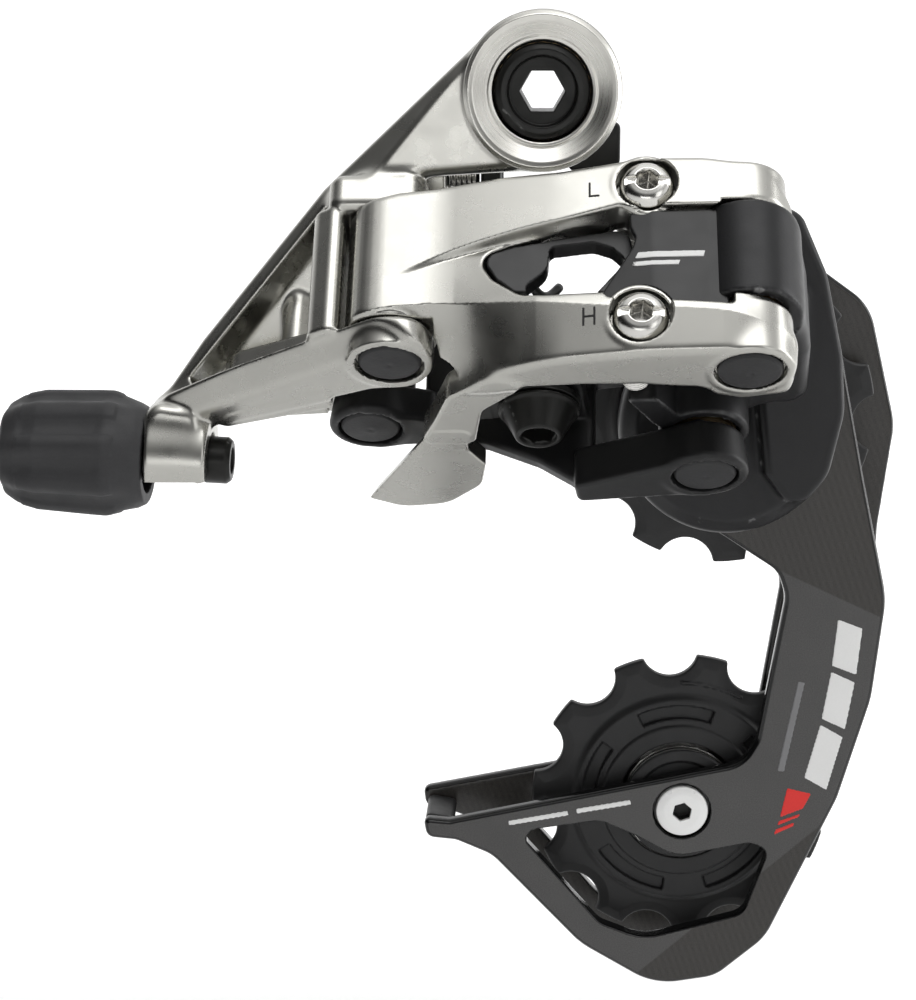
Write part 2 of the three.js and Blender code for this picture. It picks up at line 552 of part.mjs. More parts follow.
const pKnuckle = cut(
  union(
    yRod(CAGE_PIVOT, HOUSING_Y, HOUSING_R, 32), shell, sideWall, crossWeb, stopPost, cageStop,
    pinRod(PIN_C, C_BARREL, BARREL_R), pinRod(PIN_D, D_BARREL, BARREL_R),
  ),
  yTube(CAGE_PIVOT, [CAVITY_Y, 8], 12.2, 6.6),
  yRod(CAGE_PIVOT, [CAVITY_Y, 8], 4.6),
  pinRod(PIN_C, [-4, C_BARREL[0]], 7.0),
  pinRod(PIN_C, [C_BARREL[1], 34], 7.0),
  pinRod(PIN_C, [C_BARREL[0] - 1, C_BARREL[1] + 1], BUSH_R + GAP),
  pinRod(PIN_D, [-12, D_BARREL[0]], 6.2),
  forkClearance,
  pinRod(PIN_D, [D_BARREL[0] - 1, D_BARREL[1] + 1], BUSH_R + GAP),
)
add('p_knuckle', pKnuckle, FINISH.grey)
add('cage_spring', yTube(CAGE_PIVOT, [-3.0, 1.2], SPRING_R[1], SPRING_R[0]), FINISH.steel)
add('housing_seal', yTube(CAGE_PIVOT, [1.8, 2.8], 13.1, 11.8), FINISH.rubber)

// ---------------------------------------------------------------- cage
const axle = union(yRod(CAGE_PIVOT, [-3.0, OUTER_PLATE_Y[1]], 4.2), yRod(CAGE_PIVOT, [1.9, 2.9], 6.4))
add('cage_axle', cut(axle, yRod(CAGE_PIVOT, [-1, 8], 2.8)), FINISH.steel)

const outerPlateOutline = [
  [14.6, -40.0, 6], [22.0, -30.0, 6], [37.0, -25.5, 4], [40.6, -32.1, 3], [45.0, -52.9, 6],
  [48.9, -70.0, 8],
  [47.4, -84.7, 8], [43.2, -99.7, 6], [33.6, -121.4, 6], [26.5, -127.6, 4], [17.6, -129.2, 8],
  [6.6, -122.8, 8],
  [-6.4, -109.2, 4], [-11.6, -107.0, 2], [-15.7, -106.0, 1.6], [-16.4, -105.0, 0.8], [-16.2, -103.8, 0.6],
  [-12.6, -104.3, 1], [29.4, -94.6, 4], [31.4, -91.0, 2], [34.8, -69.8, 4], [33.6, -66.2, 3],
  [20.0, -57.4, 4],
]
const outerWindow = [
  [-1.7, -106.6, 1.2], [-0.6, -105.2, 1.2], [9.2, -103.5, 3], [20.2, -109.0, 5], [30.8, -106.6, 1.5],
  [33.6, -107.6, 1.5], [30.2, -117.6, 2.5], [15.8, -121.8, 6], [9.4, -119.4, 3],
]
add('cage_outer_plate', cut(
  plate(outerPlateOutline, OUTER_PLATE_Y),
  plate(outerWindow, [0, 10]),
  yRod(CAGE_PIVOT, [0, 10], 4.5),
  yRod(TENSION_AXIS, [0, 10], 2.8),
  yRod(TENSION_AXIS, [0, OUTER_PLATE_Y[0] + 1.5], 4.1),
), FINISH.carbon)

const innerPlateOutline = [
  [9.0, -36.0, 6], [18.0, -24.0, 8], [34.0, -21.0, 8], [46.6, -30.0, 8], [50.8, -47.0, 10],
  [49.0, -62.0, 6],
  [48.6, -78.0, 6], [46.0, -92.0, 6], [42.6, -102.0, 1], [42.8, -103.6, 0.5], [41.2, -107.6, 0.5],
  [39.8, -107.4, 0.5],
  [34.0, -121.0, 6], [26.5, -127.2, 4], [17.6, -128.4, 8], [6.6, -122.4, 8], [-6.4, -109.2, 4],
  [-12, -107, 2],
  [-16.6, -106, 1.6], [-17.0, -103.0, 1], [28.6, -93.4, 4], [32.6, -89.0, 3], [35.4, -70.0, 5],
  [31.0, -62.0, 5],
  [18.0, -56.0, 6],
]
add('cage_inner_plate', cut(
  plate(innerPlateOutline, INNER_PLATE_Y),
  plate(outerWindow, [10, 20]),
  yRod(CAGE_PIVOT, [10, 20], 2.8),
  yRod(TENSION_AXIS, [10, 20], 2.8),
), FINISH.carbon)
const BRIDGE_Y = [OUTER_PLATE_Y[1] + GAP, INNER_PLATE_Y[0] - GAP]
add('cage_bridge', plate([[-16.4, -105.8, 1.2], [-12.4, -106.4, 1], [-12.0, -104.4, 0.8],
  [-16.2, -103.6, 0.8]], BRIDGE_Y),
  FINISH.plastic)
add('cage_stop_pin', yRod(
  { x: aroundPivot(STOP_ANGLE + 0.32, 16.6)[0], z: aroundPivot(STOP_ANGLE + 0.32, 16.6)[1] },
  [1.8, OUTER_PLATE_Y[0] - GAP], 1.6, PIN_SIDES), FINISH.steel)

// ---------------------------------------------------------------- pulleys and bearings
const PITCH_R = CHAIN_PITCH / 2 / Math.sin(Math.PI / PULLEY_TEETH)

// Truncated tooth tips with a roller seat between each pair.
function pulleyOutline(phaseDegrees) {
  const shape = new THREE.Shape()
  const step = FULL / PULLEY_TEETH
  const cosHalf = (PULLEY_TIP_R ** 2 + PITCH_R ** 2 - ROLLER_SEAT_R ** 2) / (2 * PULLEY_TIP_R * PITCH_R)
  const halfGap = Math.acos(cosHalf)
  const halfTip = step / 2 - halfGap
  for (let i = 0; i < PULLEY_TEETH; i++) {
    const tip = THREE.MathUtils.degToRad(phaseDegrees) + i * step
    const first = new THREE.Vector2(Math.cos(tip - halfTip),
      Math.sin(tip - halfTip)).multiplyScalar(PULLEY_TIP_R)
    if (i === 0) shape.moveTo(first.x, first.y)
    shape.absarc(0, 0, PULLEY_TIP_R, tip - halfTip, tip + halfTip, false)
    const seat = new THREE.Vector2(Math.cos(tip + step / 2),
      Math.sin(tip + step / 2)).multiplyScalar(PITCH_R)
    const enter = new THREE.Vector2(Math.cos(tip + halfTip),
      Math.sin(tip + halfTip)).multiplyScalar(PULLEY_TIP_R)
    const leaveAngle = tip + step - halfTip
    const leave = new THREE.Vector2(Math.cos(leaveAngle),
      Math.sin(leaveAngle)).multiplyScalar(PULLEY_TIP_R)
    const from = Math.atan2(enter.y - seat.y, enter.x - seat.x)
    const to = Math.atan2(leave.y - seat.y, leave.x - seat.x)
    shape.absarc(seat.x, seat.y, ROLLER_SEAT_R, from, to, true)
  }
  return shape
}

const HUB_HALF = 3.6
const RACE_HALF = 2.5
function pulleySet(name, axis, phase) {
  const mid = PULLEY_MID_Y
  const around = (half) => [mid - half, mid + half]
  const place = basis(EX, EZ, EY.clone().negate(), new THREE.Vector3(axis.x, mid + TOOTH_T / 2, axis.z))
  const teeth = solidOf(extrude(pulleyOutline(phase), TOOTH_T, 3), place)
  const body = cut(
    union(teeth, yRod(axis, around(HUB_HALF - 1.2), 11.4), yRod(axis, around(2.0), 15.4)),
    yRod(axis, around(9), 8.8),
  )
  add(`${name}_pulley`, body, FINISH.plastic)
  add(`${name}_bearing_outer`, yTube(axis, around(RACE_HALF), 8.5, 7.2), FINISH.steel)
  add(`${name}_bearing_inner`, yTube(axis, around(RACE_HALF), 5.2, 2.9), FINISH.steel)
  add(`${name}_ball_ring`, yTube(axis, around(1.3), 6.9, 5.5), FINISH.white)
  const shieldFront = [mid - HUB_HALF - 0.4, mid - RACE_HALF - GAP]
  const shieldBack = [mid + RACE_HALF + GAP, mid + HUB_HALF + 0.4]
  add(`${name}_cover_front`, yTube(axis, shieldFront, 8.2, 2.9), FINISH.plastic)
  add(`${name}_cover_back`, yTube(axis, shieldBack, 8.2, 2.9), FINISH.plastic)
}
pulleySet('guide', CAGE_PIVOT, GUIDE_PHASE)
pulleySet('tension', TENSION_AXIS, TENSION_PHASE)

function pulleyBolt(axis, [headStart, headEnd], shankEnd) {
  const direction = Math.sign(headEnd - headStart)
  const shank = [Math.min(headStart, shankEnd), Math.max(headStart, shankEnd)]
  const head = [Math.min(headStart, headEnd), Math.max(headStart, headEnd)]
  const bolt = union(yRod(axis, head, 3.7), yRod(axis, shank, 2.45, PIN_SIDES))
  const mouth = new THREE.Vector3(axis.x, headStart - direction, axis.z)
  const floor = new THREE.Vector3(axis.x, headStart + direction * 2.4, axis.z)
  return cut(bolt, hexRod(mouth, floor, 2.5))
}
add('guide_pulley_bolt', pulleyBolt(CAGE_PIVOT, [INNER_PLATE_Y[1] + 2.2, INNER_PLATE_Y[1] + GAP],
  -0.6), FINISH.white)
add('tension_pulley_bolt', pulleyBolt(TENSION_AXIS, [3.0, 4.4], INNER_PLATE_Y[1] + 0.8), FINISH.white)

export default group
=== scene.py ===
import json
import math

import bpy
import numpy as np
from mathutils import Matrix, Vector


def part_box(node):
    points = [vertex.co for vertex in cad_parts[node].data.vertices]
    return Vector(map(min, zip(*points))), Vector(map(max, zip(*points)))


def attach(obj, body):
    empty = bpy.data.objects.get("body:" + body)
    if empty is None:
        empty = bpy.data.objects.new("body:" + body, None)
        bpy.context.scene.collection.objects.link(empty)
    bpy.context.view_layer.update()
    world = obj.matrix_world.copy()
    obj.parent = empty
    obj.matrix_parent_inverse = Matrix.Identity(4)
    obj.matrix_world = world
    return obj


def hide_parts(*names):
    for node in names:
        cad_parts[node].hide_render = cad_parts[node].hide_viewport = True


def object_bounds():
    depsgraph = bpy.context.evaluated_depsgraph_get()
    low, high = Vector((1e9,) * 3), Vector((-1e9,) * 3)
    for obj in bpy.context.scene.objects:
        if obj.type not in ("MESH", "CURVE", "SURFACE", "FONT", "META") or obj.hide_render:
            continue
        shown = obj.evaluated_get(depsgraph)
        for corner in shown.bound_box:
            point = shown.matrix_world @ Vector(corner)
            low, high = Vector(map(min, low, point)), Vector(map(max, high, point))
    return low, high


# Looks of a rear bicycle derailleur. Shapes are written in millimetres as distance fields
# (negative inside), meshed, and placed round the CAD frame's own axes.
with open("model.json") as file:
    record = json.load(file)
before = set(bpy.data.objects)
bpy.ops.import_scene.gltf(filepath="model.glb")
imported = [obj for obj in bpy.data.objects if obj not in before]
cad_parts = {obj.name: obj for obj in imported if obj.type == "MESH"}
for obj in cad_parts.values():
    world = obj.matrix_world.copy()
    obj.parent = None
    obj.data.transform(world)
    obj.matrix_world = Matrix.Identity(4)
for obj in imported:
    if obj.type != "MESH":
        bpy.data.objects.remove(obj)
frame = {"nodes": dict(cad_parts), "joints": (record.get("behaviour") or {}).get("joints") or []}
CAD_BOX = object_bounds()
MM = 0.001
COARSEN = 1.0


# ------------------------------------------------------------------ places read from the frame
def joint_at(name):
    found = next(j for j in frame["joints"] if j["name"] == name)
    return np.array(found.get("pos_m", (0, 0, 0))) / MM, np.array(found["axis"])


def node_box(name):
    low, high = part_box(name)
    return np.array(low) / MM, np.array(high) / MM


EX, EY, EZ = np.eye(3)
PIN_A_AT, EA = joint_at("outer_link_pivot")      # EA runs along the four link pins
EB = np.cross(EA, EX)                            # EB runs across the links, away from the camera
HANGER_AT, _ = joint_at("b_pivot")
CAGE_AT, _ = joint_at("cage_pivot")
TENSION_AT, _ = joint_at("tension_pulley_spin")
GUIDE_AT, _ = joint_at("guide_pulley_spin")
ADJUSTER_AT, GRIP_WAY = joint_at("adjuster_turn")
LOW_SCREW_AT, _ = joint_at("limit_low_turn")
HIGH_SCREW_AT, _ = joint_at("limit_high_turn")


def slant_of(point):
    """World point to (x, a, b) in the frame of the link pins."""
    away = point - PIN_A_AT
    return np.array([away @ EX, away @ EA, away @ EB])


def pin_of(name):
    x, _, b = slant_of(joint_at(name)[0])
    return x, b


PIN_A = (0.0, 0.0)
PIN_B = pin_of("inner_link_pivot")
PIN_C = pin_of("p_knuckle_pivot")
PIN_D = (PIN_B[0] + PIN_C[0], PIN_B[1] + PIN_C[1])
LINK_TURN = math.atan2(PIN_C[1], PIN_C[0])
LINK_LENGTH = math.hypot(*PIN_C)


# ------------------------------------------------------------------ local frames
class Place:
    """A local frame (u, v, w) with its origin in the world, in mm."""

    def __init__(self, origin, u, v, w):
        self.origin = np.array(origin, float)
        self.axes = np.array([u, v, w], float)

    def local(self, points):
        return (points - self.origin) @ self.axes.T.astype(points.dtype)

    def world(self, u, v, w):
        return self.origin + np.array([u, v, w], float) @ self.axes


WORLD = Place((0, 0, 0), EX, EZ, EY)             # u, v, w = X, Z, Y
SLANT = Place(PIN_A_AT, EX, EB, EA)              # u, v, w = x, b, a
SHEET = Place(PIN_A_AT, EX, EA, EB)              # u, v, w = x, a, b
TURNED_X = math.cos(LINK_TURN) * EX + math.sin(LINK_TURN) * EB
TURNED_B = -math.sin(LINK_TURN) * EX + math.cos(LINK_TURN) * EB
PIN_B_AT = SLANT.world(PIN_B[0], PIN_B[1], 0)
INNER = Place(PIN_B_AT, TURNED_X, TURNED_B, EA)  # along the inner link, across it, up the pins
WEB = Place(PIN_B_AT, TURNED_X, EA, TURNED_B)


def along(origin, axis):
    """A frame whose w runs along an axis."""
    w = np.array(axis, float) / np.linalg.norm(axis)
    helper = EX if abs(w @ EX) < 0.9 else EZ
    u = np.cross(helper, w)
    u /= np.linalg.norm(u)
    return Place(origin, u, np.cross(w, u), w)


# ------------------------------------------------------------------ flat outlines, exact distance
def rounded(corners):
    """Corner list [x, y, radius] to straight edges and tangent arcs."""
    count = len(corners)
    points = np.array([c[:2] for c in corners], float)
    edges, arcs, ring = [], [], []
    tangents = []
    for i in range(count):
        here, before, after = points[i], points[i - 1], points[(i + 1) % count]
        to_before = (before - here) / np.linalg.norm(before - here)
        to_after = (after - here) / np.linalg.norm(after - here)
        half = math.acos(np.clip(to_before @ to_after, -1, 1)) / 2
        room = min(np.linalg.norm(before - here), np.linalg.norm(after - here)) / 2
        radius = corners[i][2] if len(corners[i]) > 2 else 0.0
        reach = min(radius / max(math.tan(half), 1e-6), room)
        radius = reach * math.tan(half)
        tangents.append((here + to_before * reach, here + to_after * reach))
        if reach > 1e-3 and half < math.pi / 2 - 1e-3:
            bisector = to_before + to_after
            bisector /= np.linalg.norm(bisector)
            arcs.append((here + bisector * radius / math.sin(half), radius, *tangents[-1]))
    for i in range(count):
        edges.append((tangents[i][1], tangents[(i + 1) % count][0]))
        ring.extend(tangents[i])
    return edges, arcs, np.array(ring)


def flat(corners):
    """Signed distance to a rounded outline, as a function of two coordinates."""
    edges, arcs, ring = rounded(corners)

    def distance(x, y):
        best = np.full(x.shape, 1e9)
        for start, end in edges:
            run = end - start
            length = run @ run
            if length < 1e-9:
                continue
            t = np.clip(((x - start[0]) * run[0] + (y - start[1]) * run[1]) / length, 0, 1)
            gap = (x - start[0] - t * run[0]) ** 2 + (y - start[1] - t * run[1]) ** 2
            np.minimum(best, gap, out=best)
        best = np.sqrt(best)
        inside = np.zeros(x.shape, bool)
        for start, end in zip(ring, np.roll(ring, -1, 0)):
            if abs(end[1] - start[1]) < 1e-12:
                continue
            spans = (start[1] > y) != (end[1] > y)
            cross_x = start[0] + (y - start[1]) * (end[0] - start[0]) / (end[1] - start[1])
            inside ^= spans & (x < cross_x)
        for centre, radius, first, last in arcs:
            away = np.hypot(x - centre[0], y - centre[1])
            chord = last - first
            side = chord[0] * (y - first[1]) - chord[1] * (x - first[0])
            keep = chord[0] * (centre[1] - first[1]) - chord[1] * (centre[0] - first[0])
            beyond = side * keep < 0
            inside ^= beyond & (away < radius)
            one, two = first - centre, last - centre
            turn = one[0] * two[1] - one[1] * two[0]
            after_first = (one[0] * (y - centre[1]) - one[1] * (x - centre[0])) * turn > 0
            before_last = ((x - centre[0]) * two[1] - (y - centre[1]) * two[0]) * turn > 0
            wedge = after_first & before_last
            best = np.where(wedge, np.minimum(best, abs(away - radius)), best)
        return np.where(inside, -best, best)

    return distance


# ------------------------------------------------------------------ solids as distance fields
def ease(side, top, edge):
    """Two distances meeting in a corner that is rounded by `edge`."""
    p, q = side + edge, top + edge
    outside = np.hypot(np.maximum(p, 0), np.maximum(q, 0))
    return np.minimum(np.maximum(p, q), 0) + outside - edge


def prism(corners, span, place=WORLD, edge=0.4):
    shape = flat(corners)
    middle, half = (span[0] + span[1]) / 2, abs(span[1] - span[0]) / 2

    def field(points):
        u, v, w = place.local(points).T
        return ease(shape(u, v), abs(w - middle) - half, edge)

    return field


def lathe(corners, place):
    """Corners [radius, height, rounding] turned about the frame's w."""
    shape = flat(corners)

    def field(points):
        u, v, w = place.local(points).T
        return shape(np.hypot(u, v), w)

    return field


def rod(start, end, radius, end_radius=None, edge=0.3):
    start, end = np.array(start, float), np.array(end, float)
    length = np.linalg.norm(end - start)
    last = radius if end_radius is None else end_radius
    lean = math.cos(math.atan2(abs(last - radius), length))
    place = along(start, end - start)

    def field(points):
        u, v, w = place.local(points).T
        wall = (np.hypot(u, v) - radius - (last - radius) * np.clip(w / length, -0.2, 1.2)) * lean
        return ease(wall, abs(w - length / 2) - length / 2, edge)

    return field


def pin_rod(pin, span, radius, edge=0.3):
    return rod(SLANT.world(*pin, span[0]), SLANT.world(*pin, span[1]), radius, None, edge)


def y_rod(at, span, radius, edge=0.3):
    return rod((at[0], span[0], at[2]), (at[0], span[1], at[2]), radius, None, edge)


def hexagon(start, end, across, turn=0.0):
    place = along(start, np.array(end) - np.array(start))
    length = np.linalg.norm(np.array(end) - np.array(start))
    reach = across / math.sqrt(3)
    angles = [turn + k * math.pi / 3 for k in range(6)]
    corners = [[reach * math.cos(t), reach * math.sin(t), 0.12] for t in angles]
    return prism(corners, [0, length], place, 0.02)


def plane(point, normal):
    """Half space on the side that the normal points away from."""
    way = np.array(normal, float) / np.linalg.norm(normal)
    return lambda points: (points - np.array(point)) @ way


def soft_min(p, q, k):
    if k <= 0:
        return np.minimum(p, q)
    h = np.maximum(k - abs(p - q), 0) / k
    return np.minimum(p, q) - h ** 3 * k / 6


def join(k, *fields):
    def field(points):
        total = fields[0](points)
        for other in fields[1:]:
            total = soft_min(total, other(points), k)
        return total

    return field


def carve(k, body, *tools):
    def field(points):
        rest = body(points)
        for tool in tools:
            rest = -soft_min(-rest, tool(points), k)
        return rest

    return field


def meet(k, *fields):
    def field(points):
        total = fields[0](points)
        for other in fields[1:]:
            total = -soft_min(-total, -other(points), k)
        return total

    return field


# ------------------------------------------------------------------ field to mesh
def sampled(field, low, high, cell):
    """The field on a grid: exact near the surface, and right in sign elsewhere."""
    block = 8
    blocks = np.maximum(np.ceil((high - low) / cell / block).astype(int) + 1, 1)
    steps = [low[k] + (np.arange(blocks[k]) + 0.5) * block * cell for k in range(3)]
    centres = np.stack(np.meshgrid(*steps, indexing="ij"), -1).reshape(-1, 3)
    rough = field(centres).reshape(blocks)
    grid = np.repeat(np.repeat(np.repeat(rough, block, 0), block, 1), block, 2)
    near = np.argwhere(abs(rough) < block * cell * 0.9 + cell * 2)
    offsets = np.stack(np.meshgrid(*[np.arange(block)] * 3, indexing="ij"), -1).reshape(-1, 3)
    for part in np.array_split(near, max(1, len(near) // 500)):
        index = (part[:, None, :] * block + offsets[None]).reshape(-1, 3)
        grid[tuple(index.T)] = field(low + index * cell)
    return grid


def slopes(field, points, reach):
    parts = []
    for axis in np.eye(3):
        parts.append(field(points + axis * reach) - field(points - axis * reach))
    return np.stack(parts, -1) / (2 * reach)


CORNERS = np.array([[i, j, k] for i in (0, 1) for j in (0, 1) for k in (0, 1)])


def net(field, low, high, cell):
    """Surface net of a field: (vertices, quads, normals)."""
    low, high = np.array(low, float) - 2 * cell, np.array(high, float) + 2 * cell
    grid = sampled(field, low, high, cell)
    inside = grid < 0
    shape = np.array(grid.shape) - 1
    count = np.zeros(shape, np.int8)
    for c in CORNERS:
        count += inside[c[0]:c[0] + shape[0], c[1]:c[1] + shape[1], c[2]:c[2] + shape[2]]
    cells = np.argwhere((count > 0) & (count < 8))
    number = np.full(shape, -1, np.int64)
    number[tuple(cells.T)] = np.arange(len(cells))
    values = np.stack([grid[tuple((cells + c).T)] for c in CORNERS], -1)
    total, hits = np.zeros((len(cells), 3)), np.zeros(len(cells))
    for p in range(8):
        for q in range(p + 1, 8):
            if abs(CORNERS[p] - CORNERS[q]).sum() != 1:
                continue
            a, b = values[:, p], values[:, q]
            crossed = (a < 0) != (b < 0)
            t = np.where(crossed, a / np.where(crossed, a - b, 1), 0)
            spot = CORNERS[p] + t[:, None] * (CORNERS[q] - CORNERS[p])
            total += np.where(crossed[:, None], spot, 0)
            hits += crossed
    points = low + (cells + total / hits[:, None]) * cell
    quads = []
    for axis in range(3):
        u, v = (axis + 1) % 3, (axis + 2) % 3
        upper = [slice(None)] * 3
        upper[axis] = slice(1, None)
        lower = [slice(None)] * 3
        lower[axis] = slice(None, -1)
        starts, ends = inside[tuple(lower)], inside[tuple(upper)]
        for outward in (True, False):
            change = (starts & ~ends) if outward else (~starts & ends)
            at = np.argwhere(change)
            at = at[(at[:, u] > 0) & (at[:, v] > 0) & (at[:, u] < shape[u]) & (at[:, v] < shape[v])]
            eu, ev = np.eye(3, dtype=int)[u], np.eye(3, dtype=int)[v]
            ring = [at - eu - ev, at - ev, at, at - eu]
            if not outward:
                ring.reverse()
            quads.append(np.stack([number[tuple(r.T)] for r in ring], -1))
    for _ in range(3):
        slope = slopes(field, points, cell * 0.2)
        size = np.maximum((slope ** 2).sum(-1), 0.05)
        step = -(field(points) / size)[:, None] * slope
        far = np.maximum(np.linalg.norm(step, axis=1) / (cell * 0.5), 1)
        points = points + step / far[:, None]
    normals = slopes(field, points, max(cell * 0.45, 0.08))
    normals /= np.maximum(np.linalg.norm(normals, axis=1), 1e-9)[:, None]
    return points, np.concatenate(quads), normals


def mesh_piece(name, points, faces, normals):
    mesh = bpy.data.meshes.new(name)
    mesh.vertices.add(len(points))
    mesh.vertices.foreach_set("co", (points * MM).astype(np.float32).ravel())
    mesh.loops.add(faces.size)
    mesh.loops.foreach_set("vertex_index", faces.astype(np.int32).ravel())
    mesh.polygons.add(len(faces))
    mesh.polygons.foreach_set("loop_start", np.arange(len(faces), dtype=np.int32) * 4)
    mesh.update(calc_edges=True)
    mesh.polygons.foreach_set("use_smooth", np.ones(len(faces), bool))
    mesh.normals_split_custom_set_from_vertices(normals.astype(np.float32))
    piece = bpy.data.objects.new(name, mesh)
    bpy.context.scene.collection.objects.link(piece)
    return piece


def made(name, field, low, high, cell, material, slot, body, nodes=()):
    """Meshes a field inside a box, gives it its finish and rides it on its CAD body."""
    points, faces, normals = net(field, low, high, cell * COARSEN)
    piece = mesh_piece(name, points, faces, normals)
    piece.data.materials.append(material)
    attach(piece, body)
    if nodes:
        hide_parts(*nodes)
    return piece


def around(node, margin=0.8):
    """The box of a CAD node, with a little room."""
    low, high = node_box(node)
    return low - margin, high + margin


def rebuilt(node, field, cell, material, slot, body, margin=0.8):
    """Meshes a field in place of the CAD node of the same name."""
    return made(node, field, *around(node, margin), cell, material, slot, body, [node])


# ------------------------------------------------------------------ materials
class Nodes:
    """A short way to wire a material's node tree."""

    def __init__(self, name):
        self.material = bpy.data.materials.new(name)
        self.material.use_nodes = True
        self.tree = self.material.node_tree
        self.shader = self.tree.nodes["Principled BSDF"]
        coords = self.tree.nodes.new("ShaderNodeTexCoord")
        self.place = coords.outputs["Object"]

    def add(self, kind, inputs=None, **settings):
        node = self.tree.nodes.new(kind)
        for key, value in settings.items():
            setattr(node, key, value)
        for key, value in (inputs or {}).items():
            self.put(node.inputs[key], value)
        return node

    def put(self, socket, value):
        if isinstance(value, bpy.types.NodeSocket):
            self.tree.links.new(value, socket)
        else:
            socket.default_value = value

    def noise(self, size, detail=3.0, rough=0.55, place=None):
        """Noise whose features are about `size` mm."""
        inputs = {"Vector": place or self.place, "Scale": 1 / (size * MM), "Detail": detail,
                  "Roughness": rough}
        return self.add("ShaderNodeTexNoise", inputs).outputs["Fac"]

    def math(self, operation, *values):
        node = self.add("ShaderNodeMath", operation=operation)
        for socket, value in zip(node.inputs, values):
            self.put(socket, value)
        return node.outputs[0]

    def ramp(self, value, low, high, to_low=0.0, to_high=1.0):
        inputs = {"Value": value, "From Min": low, "From Max": high, "To Min": to_low, "To Max": to_high}
        return self.add("ShaderNodeMapRange", inputs).outputs["Result"]

    def mix(self, share, first, second):
        node = self.add("ShaderNodeMix", data_type="RGBA")
        self.put(node.inputs[0], share)
        self.put(node.inputs[6], first)
        self.put(node.inputs[7], second)
        return node.outputs[2]

    def bump(self, height, depth, strength=1.0):
        inputs = {"Height": height, "Distance": depth * MM, "Strength": strength}
        return self.add("ShaderNodeBump", inputs).outputs["Normal"]


def rgb(colour, scale=1.0):
    return (*[min(c * scale, 1) for c in colour], 1)


def edge_share(n, low=0.53, high=0.62):
    """How much a spot is a worn convex edge."""
    point = n.add("ShaderNodeNewGeometry").outputs["Pointiness"]
    return n.ramp(point, low, high)


def finish(name, colour, metallic, rough, grain=0.25, depth=0.004, spread=0.08, rough_spread=0.05,
           wear=None, specular=0.35):
    """A metal, paint, plastic or rubber with grain, cloudy colour, patchy gloss and worn edges."""
    n = Nodes(name)
    clouds = n.noise(9.0, 4)
    fine = n.noise(grain, 2)
    tone = n.math("ADD", n.math("MULTIPLY", clouds, 0.65), n.math("MULTIPLY", fine, 0.35))
    base = n.mix(n.ramp(tone, 0.3, 0.7), rgb(colour, 1 - spread), rgb(colour, 1 + spread))
    patches = n.ramp(n.noise(3.5, 5), 0.3, 0.7, rough - rough_spread, rough + rough_spread)
    if wear:
        worn = n.math("MULTIPLY", edge_share(n), n.ramp(n.noise(1.6, 4), 0.42, 0.6))
        base = n.mix(worn, base, rgb(wear))
        patches = n.math("MAXIMUM", n.math("SUBTRACT", patches, n.math("MULTIPLY", worn, 0.08)), 0.08)
    n.put(n.shader.inputs["Base Color"], base)
    n.put(n.shader.inputs["Roughness"], patches)
    n.put(n.shader.inputs["Normal"], n.bump(fine, depth))
    n.shader.inputs["Metallic"].default_value = metallic
    n.shader.inputs["Specular IOR Level"].default_value = specular
    return n.material


def turned_finish(name, colour, rough, at, pitch):
    """Metal turned on a lathe about Y: fine rings round the axis."""
    n = Nodes(name)
    axis = [c * MM for c in at]
    moved = n.add("ShaderNodeVectorMath", {0: n.place, 1: axis}, operation="SUBTRACT").outputs[0]
    parts = n.add("ShaderNodeSeparateXYZ", {0: moved})
    radius = n.math("SQRT", n.math("ADD", n.math("POWER", parts.outputs[0], 2.0),
                                   n.math("POWER", parts.outputs[2], 2.0)))
    packed = n.add("ShaderNodeCombineXYZ", {0: radius, 1: parts.outputs[1], 2: 0.0}).outputs[0]
    rings = n.noise(pitch, 2, place=packed)
    n.put(n.shader.inputs["Base Color"],
          n.mix(n.ramp(n.noise(6.0, 4), 0.3, 0.7), rgb(colour, 0.92), rgb(colour, 1.06)))
    n.put(n.shader.inputs["Roughness"], n.ramp(rings, 0.3, 0.7, rough - 0.06, rough + 0.06))
    n.put(n.shader.inputs["Normal"], n.bump(rings, 0.004))
    tangent = n.add("ShaderNodeTangent", direction_type="RADIAL", axis="Y")
    n.put(n.shader.inputs["Tangent"], tangent.outputs[0])
    n.shader.inputs["Metallic"].default_value = 1.0
    n.shader.inputs["Anisotropic"].default_value = 0.7
    return n.material


ALLOY = finish("polished_alloy", (0.46, 0.455, 0.425), 1.0, 0.28, grain=0.14, depth=0.0022, spread=0.03,
               rough_spread=0.03)
RING = turned_finish("turned_ring", (0.66, 0.65, 0.61), 0.3, HANGER_AT, 0.16)
STEEL = finish("bright_steel", (0.66, 0.65, 0.62), 1.0, 0.2, grain=0.1, depth=0.0015, spread=0.04,
               rough_spread=0.05)
BLACK_STEEL = finish("black_steel", (0.017, 0.017, 0.016), 0.55, 0.36, grain=0.16, depth=0.004,
                     rough_spread=0.07, wear=(0.1, 0.1, 0.098))
BLACK_ALLOY = finish("black_alloy", (0.013, 0.013, 0.0135), 0.25, 0.42, grain=0.22, depth=0.008,
                     rough_spread=0.06, wear=(0.06, 0.06, 0.06))
GREY_ALLOY = finish("grey_alloy", (0.017, 0.017, 0.018), 0.35, 0.4, grain=0.3, depth=0.01,
                    spread=0.1, rough_spread=0.05, wear=(0.2, 0.2, 0.2))
BLACK_PLASTIC = finish("black_plastic", (0.016, 0.016, 0.0165), 0.0, 0.44, grain=0.35, depth=0.012,
                       rough_spread=0.06)
GLOSS_PLASTIC = finish("gloss_plastic", (0.006, 0.006, 0.0062), 0.0, 0.34, grain=0.4, depth=0.004,
                       rough_spread=0.04, specular=0.4)
CAP_PLASTIC = finish("pin_cap_black", (0.024, 0.024, 0.025), 0.2, 0.5, grain=0.4, depth=0.025,
                     spread=0.18, rough_spread=0.06)
